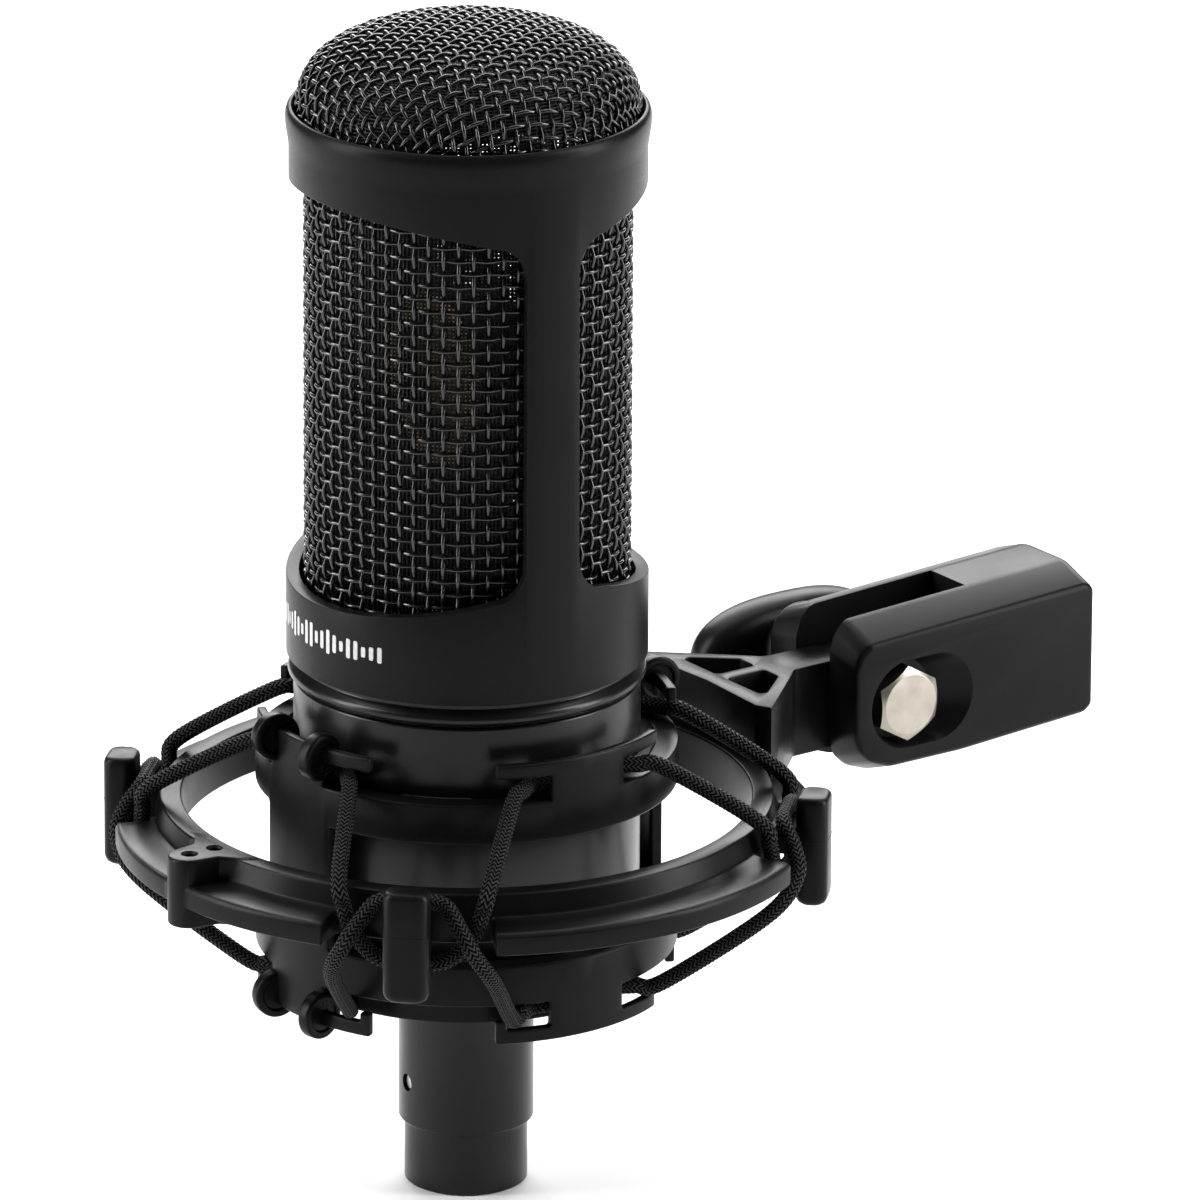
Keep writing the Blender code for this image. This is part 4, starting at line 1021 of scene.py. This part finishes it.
# ---- outer ring ----
def ring_body():
    """The ring's wall and its flange, which is missing beside each post."""
    foot, top = -RING_HALF, RING_HALF
    wall = RING_WALL_R
    angles = angle_steps([post + sign * FLANGE_GAP for post in POST_DEGREES for sign in (-1, 1)], 2.5)
    profile = [(RING_IN_R, foot), (wall, foot), (wall - 0.25, 0.35), (wall - 0.9, top), (RING_IN_R, top),
               (RING_OUT_R, foot), (RING_OUT_R, foot + FLANGE - 0.5), (RING_OUT_R - 0.5, foot + FLANGE),
               (RING_OUT_R - 2.9, 0.0), (wall + 1.2, 0.05)]
    sections = [[(*polar(r, a), z) for r, z in profile] for a in angles]
    always = [(0, 1), (2, 3), (3, 4), (4, 0)]
    pairs = {True: always + [(1, 5), (5, 6), (6, 7), (7, 8), (8, 9), (9, 2)], False: always + [(1, 2)]}
    kinds = [min(off((start + end) / 2, post) for post in POST_DEGREES) > FLANGE_GAP
             for start, end in zip(angles, angles[1:] + [angles[0] + 360.0])]
    obj = swept_section("outer_ring_fine", sections, kinds, pairs, (1, 5, 6, 7, 8, 9, 2), RING_FRAME)
    bm = bmesh.new()
    bm.from_mesh(obj.data)
    bmesh.ops.delete(bm, geom=[v for v in bm.verts if not v.link_faces], context="VERTS")
    bm.to_mesh(obj.data)
    bm.free()
    return soften(obj, 0.4, 3, 28.0)


def ring_post(degrees):
    """A peg with rounded ends and a faint parting line, and the web that carries it."""
    low = POST_Z - RING_Z - POST_HEIGHT / 2
    spin = rotation(degrees - 90, "Z")
    rings = []
    for height, inset in POST_PROFILE:
        corner = max(0.5, 1.7 - 0.5 * inset) if inset < 1.4 else 0.7
        outline = rounded_rectangle(POST_WIDTH - 2 * inset, POST_DEPTH - 2 * inset, corner)
        rings.append([spin @ Vector((x, POST_R + y, low + height)) for x, y in outline])
    peg = loft(f"peg_{degrees}", rings, RING_FRAME)
    web_in = RING_WALL_R - 1.0
    web_out = POST_R - POST_DEPTH / 2 + 0.8
    outline = [(-2.3, web_in), (2.3, web_in), (2.3, web_out), (-2.3, web_out)]
    web = soften(prism(f"web_{degrees}", outline, -2.7, 1.5, RING_FRAME), 0.35, 2)
    web.data.transform(spin)
    return [web, peg]


def ring_lug():
    """The front lug and the two stepped holes in its top."""
    outline = []
    for i in range(17):
        x, y = polar(3.0, 180 + 180 * i / 16)
        outline.append((x, y - 48.4))
    outline += [(3.4, -45.5), (7.0, -42.4), (-7.0, -42.4), (-3.4, -45.5)]
    boss = soften(prism("lug", outline, -6.6, LUG_TOP, RING_FRAME), 0.45, 3, 50.0)
    holes = []
    for kind, radius, low, high, end_radius in (("hole", 0.95, -4.1, 4.0, None),
                                                ("sink", 0.9, -0.4, 0.25, 1.5)):
        holes += [bar(f"lug_{kind}_{i}", radius, (0.0, y, LUG_TOP + low), (0.0, y, LUG_TOP + high),
                      RING_FRAME, 24, end_radius) for i, y in enumerate(LUG_HOLES_Y)]
    return boss, holes


def ring_bracket():
    """The ribbed arm and the round tongue at its end, with the tongue's bore."""
    pivot_y = REACH + PIVOT_Y
    pivot_z = PIVOT_Z - RING_Z
    low = pivot_z - 7.2
    high = pivot_z + 6.4
    neck_y = pivot_y - 15.6
    half = [(TONGUE_HALF, pivot_y), (TONGUE_HALF, neck_y), (6.0, neck_y - 2.4), (15.5, 43.0), (13.0, 41.8)]
    outline = half + [(0.0, 42.6)] + [(-x, y) for x, y in reversed(half)]
    arm = prism("bracket_arm", outline, low, high, RING_FRAME)
    tools = []
    for side in (-1, 1):
        slot = fillet([(side * x, y, 0.8) for x, y in ((1.2, 45.4), (10.4, 45.4), (4.6, neck_y - 3.6),
                                                       (1.2, neck_y - 3.6))])
        tools.append(prism(f"slot_{side}", slot, low + 3.0, high + 3.0, RING_FRAME))
        flank = [(side * x, y) for x, y in ((16.5, 46.8), (20.0, 60.0), (6.4, neck_y - 2.0), (8.6, 50.6))]
        tools.append(prism(f"flank_{side}", flank, low + 2.4, high - 2.4, RING_FRAME))
    soften(carve(arm, tools), 0.35, 2, 40.0)
    cheek = TONGUE_HALF + 0.15
    barrel = lathe("bracket_barrel", [(0.0, cheek, 0.0), (TONGUE_R, cheek, 0.4), (TONGUE_R, -cheek, 0.4),
                                      (0.0, -cheek, 0.0)],
                   64, RING_FRAME @ shift(0.0, pivot_y, pivot_z) @ rotation(90, "Y"))
    bore = bar("bracket_bore", BOLT_R + GAP, (-10.0, pivot_y, pivot_z), (10.0, pivot_y, pivot_z),
               RING_FRAME)
    return arm, barrel, bore


def outer_ring():
    obj = ring_body()
    adds = []
    for degrees in POST_DEGREES:
        adds += ring_post(degrees)
    boss, holes = ring_lug()
    arm, barrel, bore = ring_bracket()
    carve(obj, adds + [boss, arm, barrel], "UNION")
    carve(obj, [bore] + holes)
    add_piece(shade(obj), "ring", "moulded_plastic", "outer_ring")


# ---- elastic cords ----
def even_steps(points, count):
    """Even steps along a smooth curve through points; the first and last only guide it."""
    dense = []
    for i in range(1, len(points) - 2):
        guides = [np.array(points[i + k]) for k in (-1, 0, 1, 2)]
        dense += [spline(*guides, step / 24) for step in range(24)]
    dense.append(np.array(points[-2]))
    dense = np.array(dense)
    along = np.concatenate([[0.0], np.cumsum(np.linalg.norm(np.diff(dense, axis=0), axis=1))])
    wanted = np.linspace(0.0, along[-1], count + 1)
    return np.stack([np.interp(wanted, along, dense[:, axis]) for axis in range(3)], axis=1), along[-1]


def cord_points(post, at_post, at_panel):
    """A quarter of a cord's route round one post, from panel middle to panel middle."""
    half = [(math.degrees(math.atan2(along, radius)), math.hypot(along, radius), height)
            for along, radius, height in at_post]
    half += at_panel
    half.append((90.0 - half[-2][0], half[-2][1], half[-2][2]))
    return ([(*polar(radius, post - angle), height) for angle, radius, height in reversed(half[1:])]
            + [(*polar(radius, post + angle), height) for angle, radius, height in half])


def carried_along(tangent):
    """A direction across a path, carried along it without twisting."""
    up = np.array([0.0, 0.0, 1.0]) - tangent * tangent[:, 2:3]
    up[0] /= np.linalg.norm(up[0])
    for i in range(1, len(up)):
        carried = up[i - 1] - tangent[i] * np.dot(up[i - 1], tangent[i])
        up[i] = carried / np.linalg.norm(carried)
    return up


def braid_radius(along, column):
    """The cord's radius over its plait: columns of chevrons that lean left and right in turn."""
    phase = along[:, None] + np.abs(column % 2 - 1)[None, :]
    crown = np.abs(np.cos(math.pi * phase)) ** 0.7
    crown *= 0.55 + 0.45 * np.abs(np.sin(math.pi * column))[None, :]
    return CORD_R - BRAID_DEPTH * (1 - crown)


def add_plait_uv(mesh, along, column, quads):
    """UV in chevrons: U counts the columns round the cord, and V the chevrons along it."""
    corners = np.zeros(len(mesh.loops), np.int32)
    mesh.loops.foreach_get("vertex_index", corners)
    around = column[corners % CORD_SIDES]
    seam = around[:4 * quads].reshape(-1, 4)
    seam[(seam == 0.0) & (seam.max(axis=1) > BRAID_COLUMNS / 2)[:, None]] = BRAID_COLUMNS
    uv = np.stack([around, along[corners // CORD_SIDES]], axis=1)
    mesh.uv_layers.new(name="plait").data.foreach_set("uv", uv.reshape(-1).astype(np.float32))


def cord_quarter(name, post, at_post, at_panel):
    route, length = even_steps(cord_points(post, at_post, at_panel), CORD_STEPS)
    count = len(route)
    tangent = unit_rows(np.gradient(route, axis=0))
    up = carried_along(tangent)
    column = np.arange(CORD_SIDES) / CORD_SIDES * BRAID_COLUMNS
    along = np.arange(count) / (count - 1) * round(length / BRAID_PITCH)
    turns = 2 * math.pi * np.arange(CORD_SIDES) / CORD_SIDES
    vertices = swept_tube(route, up, np.cross(tangent, up), braid_radius(along, column), turns)
    obj = mesh_object(name, vertices, tube_faces(count, CORD_SIDES))
    add_plait_uv(obj.data, along, column, (count - 1) * CORD_SIDES)
    obj.data.shade_smooth()
    obj.data.transform(RING_FRAME)
    obj.data.materials.append(LOOKS["braided_cord"])
    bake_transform(obj)
    return obj


def cords():
    for node, at_post, at_panel in (("upper_cord", UPPER_AT_POST, UPPER_AT_PANEL),
                                    ("lower_cord", LOWER_AT_POST, LOWER_AT_PANEL)):
        for number, post in enumerate(POST_DEGREES, start=1):
            piece = cord_quarter(f"{node}_run_{number}", post, at_post, at_panel)
            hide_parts(node)


# ---- stand clamp ----
def clamp_block():
    """The clamp's outer form: its side outline, crowned along the middle."""
    bm = bmesh.new()
    for x, swell in ((-CLAMP_HALF, 0.0), (-CROWN_HALF, 1.0), (CROWN_HALF, 1.0), (CLAMP_HALF, 0.0)):
        for y, z in CLAMP_SIDE:
            rise = math.copysign(CROWN_RISE * swell, z) * min(1.0, abs(z) / 7.0)
            bm.verts.new((x * MM, y * MM, (z + rise) * MM))
    hull = bmesh.ops.convex_hull(bm, input=bm.verts)
    inside = [v for v in hull["geom_interior"] if isinstance(v, bmesh.types.BMVert)]
    bmesh.ops.delete(bm, geom=inside, context="VERTS")
    bmesh.ops.dissolve_limit(bm, angle_limit=math.radians(1), verts=bm.verts, edges=bm.edges)
    bmesh.ops.recalc_face_normals(bm, faces=bm.faces)
    mesh = bpy.data.meshes.new("stand_clamp_fine")
    bm.to_mesh(mesh)
    bm.free()
    return soften(new_object("stand_clamp_fine", mesh), 0.9, 4, 12.0)


def pocket_outline(out, radius, reach):
    """The bolt pocket's stadium outline at a distance out from the clamp's side."""
    points = []
    for k in range(64):
        y, z = polar(radius, 360.0 * (k + 0.5) / 64)
        points.append((CLAMP_HALF + out, PIVOT_Y + y + (reach if y > 0 else 0.0), PIVOT_Z + z))
    return points


def stand_clamp():
    corners = [(x, y) for y, sides in ((-50.0, (-1, 1)), (SLOT_END_Y, (1, -1)))
               for x in (sides[0] * SLOT_HALF, sides[1] * SLOT_HALF)]
    slot = prism("clamp_slot", corners, -20.0, 20.0)
    bore = bar("clamp_bore", BOLT_R + GAP, (-20.0, PIVOT_Y, PIVOT_Z), (20.0, PIVOT_Y, PIVOT_Z))
    pocket = loft("bolt_pocket", [pocket_outline(*level) for level in POCKET_LEVELS])
    socket = bar("socket_bore", SOCKET_R, (0.0, -SOCKET_DEPTH, 0.0), (0.0, 10.0, 0.0), segments=64)
    mouth = bar("socket_mouth", SOCKET_R, (0.0, -0.6, 0.0), (0.0, 0.3, 0.0), segments=64, end_radius=9.5)
    body = carve(clamp_block(), [slot, bore, pocket, socket, mouth])
    add_piece(shade(body, 30.0), "clamp", "moulded_plastic", "stand_clamp")


def thread_insert():
    """The brass insert with a real screw thread inside."""
    low, high = 0.4, SOCKET_DEPTH - 1.0
    around = 64
    levels = int((high - low) / THREAD_PITCH * 8)
    vertices = []
    for level in range(levels + 1):
        height = low + (high - low) * level / levels
        fade = min(1.0, height - low, high - height)
        for k in range(around):
            phase = (height / THREAD_PITCH - k / around) % 1.0
            ridge = abs(2 * phase - 1)
            vertices.append((*polar(THREAD_BORE_R + 0.5 * (1 - fade * ridge), 360.0 * k / around), height))
    skin = len(vertices)
    for height in (low, high):
        vertices += [(*polar(THREAD_OUT_R, 360.0 * k / around), height) for k in range(around)]
    faces = tube_faces(levels + 1, around, capped=False)
    faces += tube_faces(2, around, capped=False, base=skin)
    top = levels * around
    for k in range(around):
        up = (k + 1) % around
        faces.append((k, up, skin + up, skin + k))
        faces.append((top + up, top + k, skin + around + k, skin + around + up))
    obj = face_outwards(mesh_object("thread_insert_fine", vertices, faces, rotation(90, "X")))
    add_piece(shade(obj, 50.0), "clamp", "brass", "thread_insert")


def pivot_bolt():
    """A chamfered hexagon head on its shank."""
    seat = CLAMP_HALF - 3.4 + GAP
    top = seat + HEX_THICK
    flat_r = HEX_R * math.cos(math.radians(30))
    sideways = KNOB_FRAME @ rotation(90, "Y")
    head = prism("pivot_bolt_fine", [polar(HEX_R, 60.0 * k) for k in range(6)], seat, top, sideways)
    cone = lathe("hex_cone", [(0.0, top, 0.0), (flat_r - 0.45, top, 0.25), (HEX_R + 0.3, top - 0.9, 0.0),
                              (HEX_R + 0.3, seat - 1.0, 0.0), (0.0, seat - 1.0, 0.0)], 96, sideways)
    carve(head, [cone], "INTERSECT")
    shank = bar("bolt_shank", BOLT_R, (0.0, 0.0, -20.5), (0.0, 0.0, seat + 0.5), sideways)
    carve(head, [shank], "UNION")
    add_piece(shade(head, 25.0), "clamp", "nickel", "pivot_bolt")


def rounded(value, power):
    """A sine or cosine pulled towards the corners of a superellipse."""
    return math.copysign(abs(value) ** (2 / power), value)


def clamp_knob():
    """The smooth winged hand knob."""
    hub_x = -CLAMP_HALF - 2 * GAP - WASHER_THICK
    middle = hub_x - 6.5
    levels = 15
    rings = []
    for level in range(levels):
        turn = math.radians(-88 + 176 * level / (levels - 1))
        size = rounded(math.cos(turn), KNOB_POWER)
        blunt = 0.55 if level in (0, levels - 1) else 0.45
        ring = []
        for k in range(72):
            c, s = polar(1.0, 5.0 * k)
            ring.append((middle + 4.5 * rounded(math.sin(turn), KNOB_POWER),
                         KNOB_LENGTH / 2 * rounded(c, 2.5) * (blunt + (1 - blunt) * size),
                         KNOB_HEIGHT / 2 * rounded(s, 2.5) * (0.2 + 0.8 * size)))
        rings.append(ring)
    grip = loft("clamp_knob_fine", rings, KNOB_FRAME)
    hub = bar("knob_hub", 8.2, (hub_x, 0.0, 0.0), (hub_x - 4.0, 0.0, 0.0), KNOB_FRAME, 64)
    soften(hub, 0.4, 2, 60.0)
    bore = bar("knob_bore", 5.7, (-21.5, 0.0, 0.0), (5.0, 0.0, 0.0), KNOB_FRAME)
    carve(grip, [hub], "UNION")
    carve(grip, [bore])
    add_piece(shade(grip, 32.0), "knob", "moulded_plastic", "clamp_knob")


# ---- nodes that keep their CAD shape ----
KEPT = {
    "brass": ("capsule_backplate", "capsule_clamp_ring", "knob_nut"),
    "gold_film": ("capsule_diaphragm",),
    "moulded_plastic": ("capsule_housing", "capsule_post", "xlr_insert"),
    "rubber": ("capsule_saddle", "upper_pad_1", "upper_pad_2", "upper_pad_3", "upper_pad_4",
               "lower_pad_1", "lower_pad_2", "lower_pad_3", "lower_pad_4"),
    "zinc": ("head_base", "chassis_rail_left", "chassis_rail_right", "output_transformer",
             "converter_can"),
    "steel": ("set_screw", "stem_nut", "knob_washer"),
    "nickel": ("xlr_pin_1", "xlr_pin_2", "xlr_pin_3"),
    "board_laminate": ("circuit_board",),
    "capacitor_yellow": ("coupling_capacitor",),
}


def kept_nodes():
    for look, names in KEPT.items():
        for name in names:
            for place in NODES[name].material_slots:
                place.material = LOOKS[look]


# ---- stage ----
def add_light(name, size, position, target, power):
    data = bpy.data.lights.new(name, "AREA")
    data.shape = "RECTANGLE"
    data.size, data.size_y = size
    data.energy = power
    lamp = new_object(name, data)
    lamp.location = position
    lamp.rotation_mode = "QUATERNION"
    lamp.rotation_quaternion = (target - position).to_track_quat("-Z", "Y")


def stage():
    """A plain pale floor, a dim sky, and soft boxes at the sides, above and behind."""
    low = CAD_BOX[0].z / MM
    corners = [(x * FLOOR_HALF, y * FLOOR_HALF, low) for x, y in ((-1, -1), (1, -1), (1, 1), (-1, 1))]
    floor = mesh_object("floor", corners, [(0, 1, 2, 3)])
    floor.data.materials.append(floor_paper())
    world = bpy.data.worlds.new("studio")
    bpy.context.scene.world = world
    world.use_nodes = True
    sky = world.node_tree.nodes["Background"]
    sky.inputs["Color"].default_value = (1.0, 1.0, 1.0, 1.0)
    sky.inputs["Strength"].default_value = SKY_STRENGTH
    aim = Vector((0.0, -90.0, 20.0)) * MM
    back = Vector((math.sin(VIEW_AZIMUTH), -math.cos(VIEW_AZIMUTH), 0.0))
    right = Vector((math.cos(VIEW_AZIMUTH), math.sin(VIEW_AZIMUTH), 0.0))
    up = Vector((0.0, 0.0, 1.0))
    for name, side in (("left_box", -1.1), ("right_box", 1.1)):
        add_light(name, (0.35, 1.2), aim + right * side + back * 0.15 + up * 0.45, aim, SIDE_WATTS)
    add_light("top_box", (1.4, 1.4), aim - back * 0.7 + up * 1.2, aim - back * 0.5, TOP_WATTS)
    add_light("rear_box", (1.6, 0.7), aim - back * 1.35 + up * 0.75, aim, REAR_WATTS)
    bpy.context.scene.view_settings.view_transform = "Standard"


def camera():
    data = bpy.data.cameras.new("view")
    data.lens = LENS_MM
    data.sensor_width = 36.0
    data.clip_start = 0.05
    data.clip_end = 100.0
    cam = new_object("view", data)
    a, e = VIEW_AZIMUTH, VIEW_ELEVATION
    back = Vector((math.sin(a) * math.cos(e), -math.cos(a) * math.cos(e), math.sin(e)))
    turn = (-back).to_track_quat("-Z", "Y").to_matrix().to_4x4() @ rotation(VIEW_ROLL, "Z")
    cam.matrix_world = Matrix.Translation(VIEW_TARGET + back * VIEW_DISTANCE) @ turn
    bpy.context.scene.camera = cam


camera()
head_frame()
side_weave()
screen_weave()
dome_weave()
dome_screen()
body_parts()
stem()
band_mark()
cradle()
outer_ring()
cords()
stand_clamp()
thread_insert()
pivot_bolt()
clamp_knob()
kept_nodes()
stage()
